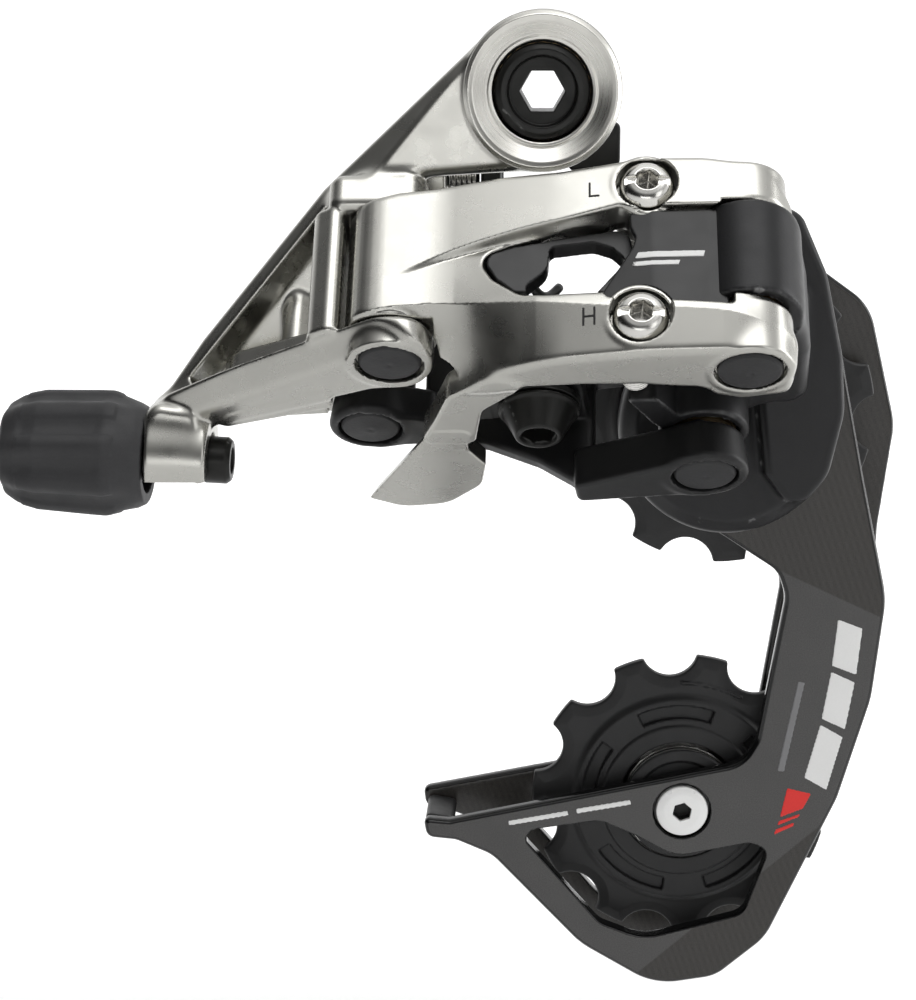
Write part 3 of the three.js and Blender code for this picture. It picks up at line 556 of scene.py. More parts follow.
GRIP = finish("grip_rubber", (0.03, 0.03, 0.0315), 0.0, 0.56, grain=0.3, depth=0.02, spread=0.14,
              rough_spread=0.08)
SEAL = finish("seal_rubber", (0.012, 0.012, 0.012), 0.0, 0.62, grain=0.3, depth=0.015)
WHITE = finish("white_bolt", (0.86, 0.86, 0.85), 0.1, 0.3, grain=0.2, depth=0.003, spread=0.025,
               rough_spread=0.05, wear=(0.7, 0.7, 0.69))
BRONZE = finish("sintered_bronze", (0.34, 0.24, 0.12), 1.0, 0.38, grain=0.18, depth=0.01, spread=0.15)
CERAMIC = finish("ceramic_balls", (0.82, 0.81, 0.77), 0.0, 0.16, grain=0.4, depth=0.002, spread=0.02)
INK_WHITE = finish("ink_white", (0.8, 0.8, 0.79), 0.0, 0.4, grain=0.25, depth=0.004, spread=0.03)
INK_GREY = finish("ink_grey", (0.2, 0.2, 0.205), 0.0, 0.42, grain=0.25, depth=0.004, spread=0.05)
INK_RED = finish("ink_red", (0.72, 0.03, 0.025), 0.0, 0.4, grain=0.25, depth=0.004, spread=0.06)
INK_BLACK = finish("ink_black", (0.012, 0.012, 0.012), 0.0, 0.5, grain=0.25, depth=0.004)


# ------------------------------------------------------------------ shapes shared by several pieces
def slab(corners, heights, edge=0.4):
    """An (x, b) outline between two heights a along the link pins."""
    return prism(corners, heights, SLANT, edge)


def sheet(corners, depths, edge=0.4):
    """An (x, a) outline between two depths b."""
    return prism(corners, depths, SHEET, edge)


def drafted(corners, floor, slope, place, edge=0.6):
    """A pocket whose wall opens by `slope` as w falls from its floor."""
    shape = flat(corners)

    def field(points):
        u, v, w = place.local(points).T
        wall = (shape(u, v) - slope * (floor - w)) / math.hypot(1, slope)
        return ease(wall, w - floor, edge)

    return field


def threaded(body, place, radius, pitch, span, depth=0.35):
    """Cuts a helical groove into a shank that runs along the frame's w."""
    def field(points):
        u, v, w = place.local(points).T
        turn = np.arctan2(v, u) / (2 * math.pi)
        groove = abs((w / pitch - turn) % 1 - 0.5) * 2
        fade = np.clip(np.minimum(w - span[0], span[1] - w) / pitch, 0, 1)
        crest = (np.hypot(u, v) - radius + depth * groove * fade) * 0.6
        rest = body(points)
        return np.where(fade > 0, np.maximum(rest, crest), rest)

    return field


# Radii round the four link pins.
PIN_BORE = 3.3
CAP_BORE = 4.3
BUSH_BORE = 4.5
BARREL_R = 5.8
BARREL_ROOM = 6.2


def on_pin(pin, a):
    return SLANT.world(*pin, a)


def turned_y(at, corners):
    return lathe(corners, along((at[0], 0, at[2]), EY))


# ------------------------------------------------------------------ hanger bolt, ring and stop plate
def build_hanger():
    place = along((0, 0, 0), EY)
    body = lathe([[-2, -15.2], [5.2, -15.2, 0.2], [6.0, -14.7, 0.5], [6.0, -11.6], [4.8, -11.6, 0.2],
                  [4.8, 8.4, 0.3], [4.3, 9.0], [-2, 9.0]], place)
    body = threaded(body, place, 4.85, 1.0, [-1.5, 8.9], 0.5)
    mouth = lathe([[-2, -16], [4.9, -16], [4.3, -14.9, 0.2], [4.3, -13.2, 0.3], [-2, -13.0]], place)
    socket = hexagon((0, -16, 0), (0, 10, 0), 5.0, math.pi / 6)
    bolt = carve(0.15, body, mouth, socket)
    rebuilt("hanger_bolt", bolt, 0.17, BLACK_STEEL, "black_steel", "hanger")
    ring = lathe([[6.3, -13.6], [9.9, -13.6], [9.9, -15.7, 0.35], [9.35, -16.3, 0.25], [8.7, -16.15, 0.3],
                  [6.95, -15.15, 0.15], [6.75, -15.35, 0.12], [6.3, -15.2, 0.1]], place)
    rebuilt("bolt_ring", ring, 0.14, RING, "satin_ring", "hanger")
    disc = y_rod(HANGER_AT, [0.2, 3.4], 10.2, 0.4)
    low, high = node_box("stop_plate")
    ear = prism([[-5, -4], [-8, -5, 1], [-8, -14, 0.8], [-5.2, -14, 0.8]], [0.2, 3.2])
    tab = prism([[-8, -9], [-5.4, -9], [-5.4, -14, 0.8], [-8, -14, 0.8]], [low[1], high[1]])
    front = prism([[2, -8], [10.3, -3.6, 0.8], [10.3, -9.9, 1], [4, -10.6, 1]], [low[1], 3.0])
    plate_field = carve(0.2, join(0.8, disc, ear, tab, front), y_rod(HANGER_AT, [-3, 4], 5.1),
                        y_rod(HANGER_AT, [-4, 0.1], 9.2))
    rebuilt("stop_plate", plate_field, 0.3, BLACK_STEEL, "black_steel", "hanger")


# ------------------------------------------------------------------ b knuckle
def build_b_knuckle():
    boss = turned_y(HANGER_AT, [[-2, -13.3], [9.6, -13.3, 0.3], [10.1, -12.8, 0.3], [10.1, -2.8, 0.4],
                                [-2, -2.8]])
    arm = prism([[-8.6, 5.6, 1], [-28.2, -12.6, 5], [-44.6, -32.4, 8], [-51.0, -41.4, 3],
                 [-51.4, -46, 2], [-45.6, -45.4, 1.5], [-44.6, -40.6, 3], [-38, -36.6, 4],
                 [-27, -35.5, 1], [-24.6, -15.6, 3],
                 [-20.3, -11.2, 5], [-12.0, -10.6, 6], [0, -9.9, 1], [5, 0], [0, 9.5]],
                [-13.0, -4.0], WORLD, 1.5)
    face = plane((-23.8, -13, -13.5), np.cross([14.6, 0, 17.9], [-4.7, 4.5, 0.9]))
    arm = meet(0.5, arm, face)
    left = plane((-34.2, -12, -20.2), -np.cross([-11.8, 0, -14.3], [0.5, 5, -5.5]))
    rim = prism([[-25.5, -14.4, 2], [-29.7, -14.8, 4], [-34.6, -19.8, 5], [-47.5, -35.5, 2],
                 [-44, -40, 2], [-26.5, -33, 1]], [-30, -7.0], WORLD, 0.5)
    pocket = meet(0.8, rim, left)
    lug = drafted([[-2.1, -6.4, 5], [3.8, -6.6, 4], [5.6, -1.5, 3], [3.2, 5.2, 3], [-2.8, 6.3, 3],
                   [-10, 9.6, 2], [-21, 14.5, 3], [-30.5, 20.5, 3], [-31, 13.5, 3], [-23.3, 7.5, 3],
                   [-12.4, -0.9, 3]], 3.0, 0.0, SLANT, 1.0)
    underside = plane(SLANT.world(0, 0, -0.4), -EA)
    lean = plane(SLANT.world(-4.2, -1.2, -0.4), SLANT.world(-0.5, -0.78, -0.8) - SLANT.origin)
    tip = rod(on_pin(PIN_A, -0.4), on_pin(PIN_A, 3.0), 5.3, None, 0.3)
    lug = join(1.0, meet(1.0, lug, underside, lean), tip)
    root = join(0.5, slab([[-8, 6, 1], [-22, 13, 3], [-24, 17, 3], [-8, 11, 1]], [-0.4, 9]),
                slab([[-8, 6, 1], [-22, 13, 3], [-24, 24, 3], [-8, 22, 1]], [5, 9]))
    post = slab([[-6.3, -4.4, 1.6], [-6.3, 9, 1], [-10.4, 14, 1], [-10.4, -1.8, 2.2]], [2.4, 21.2], 0.8)
    top = slab([[4.4, -4.3, 3.5], [4.6, 4.2, 4], [-6, 9, 1], [-9, 9, 2], [-8.5, -4.0, 2]], [20.3, 25.8],
               1.5)
    barrel = pin_rod(PIN_B, [6.9, 23.1], BARREL_R, 0.4)
    web = slab([[-2.5, 15, 1], [-2.5, 25, 1], [-15.5, 25, 3], [-15.5, 10, 2], [-9, 12, 1]], [6.9, 23.1])
    screw_lug = prism([[-12.6, -6.6, 1.5], [-12.6, -14.4, 1.5], [-20.6, -14.4, 1.5],
                       [-20.6, -8, 1.5]], [-5, 4.6])
    start = np.array(ADJUSTER_AT)
    way = GRIP_WAY / np.linalg.norm(GRIP_WAY)
    inboard = -way
    end_boss = rod(start, start + inboard * 7.9, 6.55, 6.2, 0.5)
    neck = prism([[-51.0, -39.5, 2], [-43.8, -40.5, 2], [-44.6, -46, 2], [-51.2, -46, 2]], [-16.5, -7],
                 WORLD, 1.2)
    end_boss = join(2.6, end_boss, neck)
    body = join(2.2, arm, end_boss)
    body = join(0.8, carve(0.9, body, pocket), boss)
    body = join(1.2, body, lug)
    body = join(2.2, body, top)
    body = join(0.8, body, root, post, barrel, web, screw_lug)
    body = carve(
        0.15, body,
        y_rod(HANGER_AT, [-14.5, -1.5], 6.4, 0),
        pin_rod(PIN_A, [-2, 26.2], PIN_BORE, 0),
        pin_rod(PIN_A, [-2, 0.85], CAP_BORE, 0),
        pin_rod(PIN_A, [3.0, 20.3], 6.1, 0),
        pin_rod(PIN_B, [5.9, 24.1], BUSH_BORE, 0),
        pin_rod(PIN_B, [-4, 6.9], BARREL_ROOM, 0),
        pin_rod(PIN_B, [23.1, 34], BARREL_ROOM, 0),
        rod(start + way * 2, start + inboard * 16, 3.6, None, 0),
        rod((-46, 1.0, -11.2), (-10, 1.0, -11.2), 2.3, None, 0),
    )
    made("b_knuckle", body, *around("b_knuckle", 1.5), 0.28, ALLOY, "polished_alloy", "b_knuckle",
         ["b_knuckle", "adjuster_boss"])


def build_b_screw():
    at = np.array([-23.5, 1.0, -11.2])
    place = along(at, EX)
    body = lathe([[-2, 0], [3.0, 0, 0.4], [3.5, 0.6, 0.4], [3.5, 2.6, 0.3], [2.0, 2.7], [2.0, 14.8, 0.3],
                  [1.5, 15.2], [-2, 15.2]], place)
    body = threaded(body, place, 2.05, 0.7, [3.2, 15.0], 0.3)
    body = carve(0.1, body, hexagon(at - EX, at + EX * 1.6, 3.0))
    rebuilt("b_screw", body, 0.15, STEEL, "steel", "b_screw")


# ------------------------------------------------------------------ pin caps
def build_pin_caps():
    for letter, body in (("a", "b_knuckle"), ("b", "inner_link"), ("c", "outer_link"),
                         ("d", "inner_link")):
        node = "pin_cap_" + letter
        low, high = node_box(node)
        centre = (low + high) / 2
        place = along(centre, EA)
        cap = lathe([[-2, -0.2], [0.6, -0.55, 3], [3.6, -0.35, 0.3], [3.95, 0.0, 0.2], [3.95, 0.5],
                     [-2, 0.5]], place)
        rebuilt(node, cap, 0.16, CAP_PLASTIC, "black_plastic", body)


# ------------------------------------------------------------------ barrel adjuster
def build_adjuster():
    start = np.array(ADJUSTER_AT)
    way = GRIP_WAY / np.linalg.norm(GRIP_WAY)
    inboard = along(start, -way)
    stem = lathe([[1.3, -11.9], [4.6, -11.9], [4.6, -9, 0.3], [3.1, -8.9], [3.1, 10.1, 0.35],
                  [2.6, 10.7, 0.25], [1.75, 10.7, 0.15], [1.75, 10.3], [1.3, 10.2]], inboard)
    stem = threaded(stem, inboard, 3.12, 0.8, [-8.6, 7.6], 0.4)
    rebuilt("adjuster_stem", stem, 0.16, BLACK_STEEL, "black_steel", "adjuster")
    outboard = along(start + way * 0.4, way)
    core = lathe([[4.9, 0], [6.35, 0, 0.3], [7.0, 1.2, 1.5], [8.3, 4.8, 2.5], [8.25, 6.8, 3],
                  [7.9, 14, 3], [7.2, 16.8, 2.6], [6.0, 18.7, 1.5], [4.6, 19.1, 0.6], [3.3, 19.0, 0.3],
                  [3.3, 11.8], [4.9, 11.8]], outboard)

    def fluted(points):
        u, v, w = outboard.local(points).T
        across = points - start
        turn = np.arctan2(across @ EZ, across @ EY)
        wave = 0.5 - 0.5 * np.cos(turn * 9)
        fade = np.clip((w - 1.0) / 5, 0, 1) * np.clip((19.5 - w) / 4, 0, 1)
        sector = (turn * 9 / (2 * math.pi) + 0.5) % 1 - 0.5
        land = np.clip((0.3 - abs(sector)) * 12, 0, 1) * np.clip((w - 3.4) * 3, 0, 1)
        land = land * np.clip((16.4 - w) * 3, 0, 1)
        depth = 0.75 * wave * fade - 0.16 * land
        return (core(points) + depth * (np.hypot(u, v) > 5.2)) * 0.85

    rebuilt("adjuster_grip", fluted, 0.24, GRIP, "grip_rubber", "adjuster", 1.0)


# ------------------------------------------------------------------ outer link
WINDOW = [[11.2, 10.9, 1.5], [15.0, 12.4, 3], [21.8, 13.9, 6], [28.1, 15.0, 1.5], [29.4, 14.2, 1.2],
          [30.5, 9.0, 1], [27.6, 4.9, 1], [19.0, 4.9, 2], [16.4, 5.1, 2], [13.1, 7.7, 2]]
PANEL = [[27, 15.4, 1], [33, 15.9, 2], [41.5, 15.9, 0.4], [41.3, 1.4, 0.5], [33, 2.1, 2], [26, 2.9, 1]]


def smooth_line(at, xs, ys, spread):
    """A polyline's height at `at`, with its corners smoothed over `spread`."""
    total = 0
    for shift in np.linspace(-spread, spread, 7):
        total = total + np.interp(at + shift, xs, ys)
    return total / 7


def link_front(x, a):
    """How far forward the outer link's front lies: two arms, a scoop between, a swept lower face."""
    front = smooth_line(x, [-6, -5, -4, -2.5, 6, 20.8, 32, 43.3, 47, 50],
                        [-2.2, -4.2, -5.4, -6.0, -6.6, -9.4, -11.1, -11.5, -10.2, -6.5], 1.6)
    ledge = smooth_line(x, [-0.1, 5.8, 10.6, 16.2, 21.7, 28, 35.5, 43],
                        [8.7, 11.5, 13, 14.3, 15.1, 15.6, 16, 16.0], 1.5)
    crease = smooth_line(x, [-5.1, 0, 6, 15.1, 21.7, 27.1, 34.7, 40.4, 43.1, 50],
                         [3.2, 4.3, 4.4, 3.3, 2.3, 1.5, 0.9, 0.4, -0.3, -1.5], 1.5)
    depth = smooth_line(x, [0.5, 6, 11, 20, 40], [0, 0.7, 1.5, 2.1, 2.3], 1.5)
    share = np.clip((a - crease) / np.maximum(ledge - crease, 0.5), 0, 1)
    wall = np.clip((ledge - a) / 1.0, 0, 1)
    scoop = depth * share ** 1.25 * wall * wall * (3 - 2 * wall)
    slope = smooth_line(x, [5, 7, 9, 11.5, 14.6, 20, 45], [1.4, 1.15, 0.85, 0.55, 0.36, 0.24, 0.22], 1.2)
    bulge = np.interp(x, [8, 18, 40, 46], [0, 0.7, 0.7, 0]) * np.clip((ledge - a) / 9, 0, 1)
    return front + scoop - bulge + slope * np.maximum(crease - a, 0)


def outer_link_shape():
    low_screw, high_screw = slant_of(LOW_SCREW_AT), slant_of(HIGH_SCREW_AT)
    silhouette = sheet([[-5.0, 3.5, 0.8], [-5.0, 19.9, 0.8], [0.7, 21.2, 4], [13.3, 22.3, 8],
                        [20.8, 22.2, 8], [31.0, 23.1, 14], [38.3, 23.0, 10], [44.8, 21.9, 6],
                        [49.6, 18.6, 3], [49.3, 15.3, 1], [43.9, 15.1, 1], [42, 6.2, 3],
                        [46.5, 3.2, 3], [49.3, -1.2, 3], [48.9, -4.6, 1], [10, -4.6, 1], [6.4, -2, 1],
                        [3.4, 1.8, 1.2], [0, 3.2, 1.0]], [-14, 6], 0)
    back = slab([[-5.2, -14], [50, -14], [49.6, -1.0, 3], [43, 0.6, 2], [31, -2.6, 3],
                 [13, -1.2, 2], [-5.2, -0.8, 0.4]], [-6, 25], 0)

    def front(points):
        x, a, b = SHEET.local(points).T
        return (link_front(x, a) - b) * 0.8

    shell = meet(1.2, silhouette, meet(0.9, back, front))
    shell = carve(0.6, shell, drafted(WINDOW, -4.8, 0.22, SHEET, 0.4))
    shell = carve(0.4, shell, sheet(WINDOW, [-12, 3], 0))
    shell = carve(0.5, shell, sheet(PANEL, [-15, 3], 0.4))
    inside = slab([[22, -7.2, 6], [33, -8.8, 6], [38, -8.6, 3], [38, 6], [10, 6], [9, -2.4, 2]],
                  [2.6, 14.9], 0.4)
    arm_back = slab([[26, -6.0, 3], [35, -6.6, 3], [50, -4.2, 3], [50, 5], [26, 5]], [15.0, 24], 0.4)
    shell = carve(0.7, shell, inside, arm_back)
    lower_back = slab([[11, -0.6, 3], [14.6, -1.8, 3], [24.4, -2.6, 4], [32.4, -2.5, 4], [38.5, -2.2, 3],
                       [43.5, 5.3, 5], [46, 10], [11, 10]], [-8, 3.0], 0)
    shell = carve(0.7, shell, carve(0, lower_back, pin_rod(PIN_C, [-8, 4], 5.3, 0)))
    eye = meet(0.9, pin_rod(PIN_C, [-4.6, 2.6], 5.3, 0.6))
    claw_root = slab([[13.0, -4.4, 3], [7.2, 0.6, 3], [5.2, 7.4, 2], [3.4, 12.2, 1], [10.4, 12.2, 1],
                      [11.4, 4, 3], [17, -2.2, 4]], [-4.7, -0.8], 0.4)
    claw = slab([[4.6, 9.0, 1], [2.1, 14.2, 1], [-4.8, 27.6, 1.2], [0.2, 30.4, 5], [6.4, 29.2, 5],
                 [11.0, 23.6, 4], [11.6, 18, 0.8], [9.2, 13.6, 3], [10.4, 8.8, 1.5]], [-4.8, -2.2], 0.3)
    bevel = plane(SLANT.world(-1.5, 22, -4.8), SLANT.world(-0.88, -0.43, 0.55) - SLANT.origin)
    claw = meet(0.3, claw, bevel)
    barrel = pin_rod(PIN_A, [3.3, 20], BARREL_R, 0.3)
    upper_eye = pin_rod(PIN_C, [16.6, 22.4], 5.3, 0.8)
    body = join(0.6, shell, barrel, upper_eye, eye)
    body = join(1.6, body, claw_root)
    body = join(0.5, body, claw)
    lug_room = join(0, pin_rod(PIN_A, [-6, 3.3], 6.3, 0),
                    slab([[6.0, 2.6, 3], [4.2, 7.6, 3], [-6, 7, 3], [-8, -9, 3], [5, -9, 3]],
                         [-0.8, 3.3], 0))
    seats, bosses = [], []
    for x, a in (low_screw[:2], high_screw[:2]):
        seats.append(rod(SHEET.world(x, a, -15), SHEET.world(x, a, -7.7), 3.75, None, 0))
        seats.append(rod(SHEET.world(x, a, -10), SHEET.world(x, a, 9), 2.2, None, 0))
        bosses.append(rod(SHEET.world(x, a, -10.2), SHEET.world(x, a, -4.0), 4.45, None, 0.4))
    body = join(0.6, body, *bosses)
    return carve(
        0.25, body, lug_room,
        pin_rod(PIN_A, [0.3, 23], BUSH_BORE, 0), pin_rod(PIN_A, [20.0, 30], 5.6, 0),
        pin_rod(PIN_C, [-8, 22], PIN_BORE, 0), pin_rod(PIN_C, [-8, -3.55], CAP_BORE, 0),
        pin_rod(PIN_C, [3.0, 16.6], BARREL_ROOM, 0), *seats,
    )


def build_outer_link():
    body = outer_link_shape()
    rebuilt("outer_link", body, 0.25, ALLOY, "polished_alloy", "outer_link", 1.5)
    build_link_letters(body)


def skin(body, strokes, depths, thick):
    """A thin layer that follows a body's surface inside some outlines."""
    region = join(0, *[sheet(s, depths, 0) for s in strokes])
    return lambda points: np.maximum(region(points), abs(body(points)) - thick)


def stroke(x0, a0, x1, a1, width=0.26):
    run = np.array([x1 - x0, a1 - a0])
    side = np.array([-run[1], run[0]]) / np.linalg.norm(run) * width / 2
    start, end = np.array([x0, a0]), np.array([x1, a1])
    return [[*(start + side)], [*(end + side)], [*(end - side)], [*(start - side)]]


def inlay(name, body, strokes, depths, ink, slot, cell=0.07, thick=0.05):
    corners = [SHEET.world(c[0], c[1], d) for s in strokes for c in s for d in depths]
    low, high = np.min(corners, 0), np.max(corners, 0)
    made(name, skin(body, strokes, depths, thick), low - 0.1, high + 0.1, cell, ink, slot, "outer_link")


def build_link_letters(body):
    """Plain letters that name the two adjusting screws."""
    inlay("mark_letter_l", body, [stroke(24.4, 19.85, 24.4, 17.7), stroke(24.27, 17.83, 25.6, 17.83)],
          (-13, -8), INK_BLACK, "black_plastic")
    inlay("mark_letter_h", body, [stroke(23.6, 1.5, 23.6, -0.7), stroke(24.9, 1.5, 24.9, -0.7),
                                  stroke(23.6, 0.4, 24.9, 0.4)], (-14, -8), INK_BLACK, "black_plastic")


def build_limit_screws():
    for node, body, at in (("limit_screw_low", "limit_low", LOW_SCREW_AT),
                           ("limit_screw_high", "limit_high", HIGH_SCREW_AT)):
        low, _ = node_box(node)
        x, a, _ = slant_of(at)
        place = along(SHEET.world(x, a, -10.4), EB)
        screw = lathe([[-2, -1.25], [0.9, -1.3, 1.0], [2.6, -0.75, 1.6], [3.35, 0.35, 0.7], [3.35, 1.6, 0.3],
                       [1.9, 1.9, 0.2], [1.9, 14.8, 0.3], [1.5, 15.3], [-2, 15.3]], place)
        screw = threaded(screw, place, 1.95, 0.5, [2.4, 15.1], 0.25)
        slot_cut = prism([[-4.5, -0.55, 0.1], [4.5, -0.55, 0.1], [4.5, 0.55, 0.1], [-4.5, 0.55, 0.1]],
                         [-2.4, -0.35], Place(place.origin, EX, EA, EB), 0.1)
        socket = hexagon(place.origin - EB * 2.5, place.origin + EB * 1.5, 2.5, 0.2)
        cone = lathe([[-2, -2.6], [2.3, -2.6], [1.15, -0.2, 0.1], [-2, -0.2]], place)
        screw = carve(0.16, screw, slot_cut, socket, cone)
        rebuilt(node, screw, 0.13, STEEL, "steel", body, 1.5)


def build_insert():
    curve = slab([[23.0, -8.7], [32.0, -10.25, 6], [38.8, -10.5, 3], [42.2, -10.1, 0.3], [42.2, -9.7],
                  [38.8, -9.9], [32.0, -9.5, 6], [23.0, -7.9]], [0, 20], 0.0)
    silhouette = sheet([[25.2, 3.2, 1], [29.5, 10.4, 1.2], [29.9, 11.9, 0.8], [29.3, 13.4, 0.8],
                        [29.2, 15.5, 0.5], [41.2, 15.7, 0.3], [40.9, 1.7, 0.3]], [-14, -6], 0)
    panel = meet(0.3, curve, silhouette)
    x, a, _ = slant_of(HIGH_SCREW_AT)
    panel = carve(0.2, panel, rod(SHEET.world(x, a, -15), SHEET.world(x, a, -7), 4.2, None, 0))
    frame_ring = sheet([[c[0], c[1], c[2]] for c in WINDOW], [-6.9, -4.2], 0.2)
    opening = sheet([[15.2, 5.4, 1], [19.4, 9.2, 3], [19.6, 12.4, 1], [25.0, 13.2, 2], [27.2, 12.4, 1.2],
                     [29.0, 10.6, 1], [24.8, 5.3, 1]], [-9, 0], 0)
    low_edge = sheet([[10, 3], [33, 3], [33, 5.9], [10, 5.9]], [-9, 0], 0)
    liner = carve(0.3, frame_ring, opening, low_edge)
    rebuilt("link_insert", join(0.2, panel, liner), 0.24, GLOSS_PLASTIC, "black_plastic", "outer_link", 17)
    bars = [[[30.2, 9.6], [38.2, 9.6], [38.0, 8.8], [29.8, 8.8]],
            [[29.6, 8.3], [35.2, 8.3], [35.0, 7.7], [29.3, 7.7]]]
    inlay("mark_panel_bars", panel, bars, (-11.5, -9.9), INK_WHITE, "white_bolt", 0.08, 0.1)


# ------------------------------------------------------------------ inner link, anchor bolt and spring
def build_inner_link():
    web = prism([[6.6, 1.7, 1], [15, 0.2, 3], [22, -3.0, 3], [29.5, -8.1, 2], [29.5, 12.4, 1], [20, 21.5, 4],
                 [6.6, 28, 1]], [2.6, 5.4], WEB, 0.7)

    def fork(corners, span):
        return prism(corners, span, INNER, 0.6)

    b_side = [[0, -5], [9, -1, 1.5], [9, 5.4, 1], [0, 5]]
    d_side = [[27, 1, 1], [LINK_LENGTH, -5], [LINK_LENGTH, 5], [27, 5.4, 1]]
    d_top = [[27, 1, 1], [LINK_LENGTH, -4.3], [LINK_LENGTH, 4.3], [27, 5.4, 1]]
    skirt = rod(on_pin(PIN_D, -8.1), on_pin(PIN_D, -2.5), 5.6, 5.0, 0.8)
    foot = rod(on_pin(PIN_B, 1.7), on_pin(PIN_B, 6.5), 5.6, 5.0, 0.9)
    parts = join(
        1.2, web,
        foot, fork(b_side, [1.7, 6.6]),
        pin_rod(PIN_B, [23.4, 28], 5.2, 0.6), fork(b_side, [23.4, 28]),
        skirt, fork(d_side, [-8.1, -2.3]),
        pin_rod(PIN_D, [8.4, 12.4], 4.4, 0.6), fork(d_top, [8.4, 12.4]),
        fork([[17.0, -8.6, 4.5], [29, -8.4, 4], [28.6, 3], [17.4, 3]], [3.0, 7.0]),
        fork([[13.0, -5.6, 1], [19, -5.6, 1], [19, 3], [13.0, 3]], [17.6, 20.6]),
    )
    anchor = INNER.world(23.0, -3.4, 0)

    def at_anchor(a):
        return anchor + EA * a

    parts = carve(
        0.25, parts,
        pin_rod(PIN_B, [-4, 27.2], PIN_BORE, 0), pin_rod(PIN_B, [-4, 3.05], CAP_BORE, 0),
        pin_rod(PIN_D, [-12, 11.7], PIN_BORE, 0), pin_rod(PIN_D, [-12, -6.75], CAP_BORE, 0),
        rod(at_anchor(0), at_anchor(10), 2.8, None, 0), rod(at_anchor(-6), at_anchor(2.7), 6.0, None, 0),
    )
    rebuilt("inner_link", parts, 0.4, BLACK_ALLOY, "black_alloy", "inner_link", 1.2)
    place = along(anchor, EA)
    bolt = lathe([[-2, -2.9], [3.0, -2.9, 0.35], [4.9, 0.6, 0.6], [5.3, 0.75, 0.3], [5.3, 1.2, 0.15],
                  [2.45, 1.2], [2.45, 8.6, 0.3], [-2, 8.6]], place)
    bolt = threaded(bolt, place, 2.5, 0.8, [1.5, 8.4], 0.35)
    bolt = carve(0.12, bolt, hexagon(at_anchor(-4), at_anchor(-0.4), 4.0, 0.3),
                 lathe([[-2, -3.5], [2.75, -3.5], [2.2, -2.4], [-2, -2.4]], place))
    rebuilt("cable_anchor_bolt", bolt, 0.16, BLACK_STEEL, "black_steel", "inner_link")
    washer = join(0.3, rod(at_anchor(1.5), at_anchor(2.5), 5.4, None, 0.2),
                  prism([[13.6, -5.6, 0.8], [19.4, -5.6], [19.4, -1.2], [13.6, -1.2, 0.8]], [1.5, 2.5],
                        INNER, 0.2),
                  prism([[13.6, -5.6, 0.8], [16.8, -5.6], [16.8, -1.2], [13.6, -1.2, 0.8]], [1.5, 2.9],
                        INNER, 0.2))
    washer = carve(0.1, washer, rod(at_anchor(0), at_anchor(4), 2.8, None, 0))
    rebuilt("cable_clamp_washer", washer, 0.2, BLACK_STEEL, "black_steel", "inner_link")
    build_return_spring()


def tube(name, points, radius, sides, material, body, nodes=()):
    """A wire drawn as a mesh tube with closed ends, for long coils."""
    points = np.array(points)
    ways = np.gradient(points, axis=0)
    ways /= np.linalg.norm(ways, axis=1)[:, None]
    side = np.cross(ways[0], EY + 0.3 * EZ)
    rings = []
    for way in ways:
        side = side - way * (side @ way)
        side /= np.linalg.norm(side)
        other = np.cross(way, side)
        angles = np.arange(sides) * 2 * math.pi / sides
        rings.append(np.cos(angles)[:, None] * side + np.sin(angles)[:, None] * other)
    rings = np.array(rings)
    verts, normals = [], []
    for k, scale, shift in [(0, 0.5, -0.35), *[(i, 1, 0) for i in range(len(points))],
                            (len(points) - 1, 0.5, 0.35)]:
        verts.append(points[k] + rings[k] * radius * scale + ways[k] * radius * shift)
        normals.append(rings[k] if scale == 1 else rings[k] * 0.5 + ways[k] * np.sign(shift))
    verts, normals = np.array(verts), np.array(normals)
    count = len(verts)
    grid = np.arange(count * sides).reshape(count, sides)
    faces = np.stack([grid[:-1], np.roll(grid[:-1], -1, 1), np.roll(grid[1:], -1, 1), grid[1:]], -1)
    faces = [list(f) for f in faces.reshape(-1, 4)]
    mesh = bpy.data.meshes.new(name)
    mesh.from_pydata((verts.reshape(-1, 3) * MM).tolist(), [],
                     faces + [list(grid[0][::-1]), list(grid[-1])])
    mesh.update()
    for face in mesh.polygons:
        face.use_smooth = True
    piece = bpy.data.objects.new(name, mesh)
    bpy.context.scene.collection.objects.link(piece)
    piece.data.materials.append(material)
    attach(piece, body)
    if nodes:
        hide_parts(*nodes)
    return piece


def build_return_spring():
    start, end = SLANT.world(8.2, 4.4, 15.6), SLANT.world(21.6, 6.0, 16.2)
    way = (end - start) / np.linalg.norm(end - start)
    place = along(start, way)
    length = np.linalg.norm(end - start)
    turns, per = 5.5, 22
    count = int(turns * per)
    coil = []
    for i in range(count + 1):
        angle = i / per * 2 * math.pi
        reach = 0.8 + (length * 0.62 - 0.8) * i / count
        coil.append(place.world(3.3 * math.cos(angle), 3.3 * math.sin(angle), reach))
    tip = place.world(3.3 * math.cos(count / per * 2 * math.pi),
                      3.3 * math.sin(count / per * 2 * math.pi), length * 0.62)
    hook = []
    for t in np.linspace(0.1, 1, 12):
        aim = place.world(0.6, -1.2, length - 0.6)
        hook.append(tip * (1 - t) + aim * t + EA * (-2.4 * math.sin(t * math.pi)) * 0.8)
    tube("return_spring", coil + hook, 0.62, 10, BLACK_STEEL, "inner_link",
         ["return_spring"])


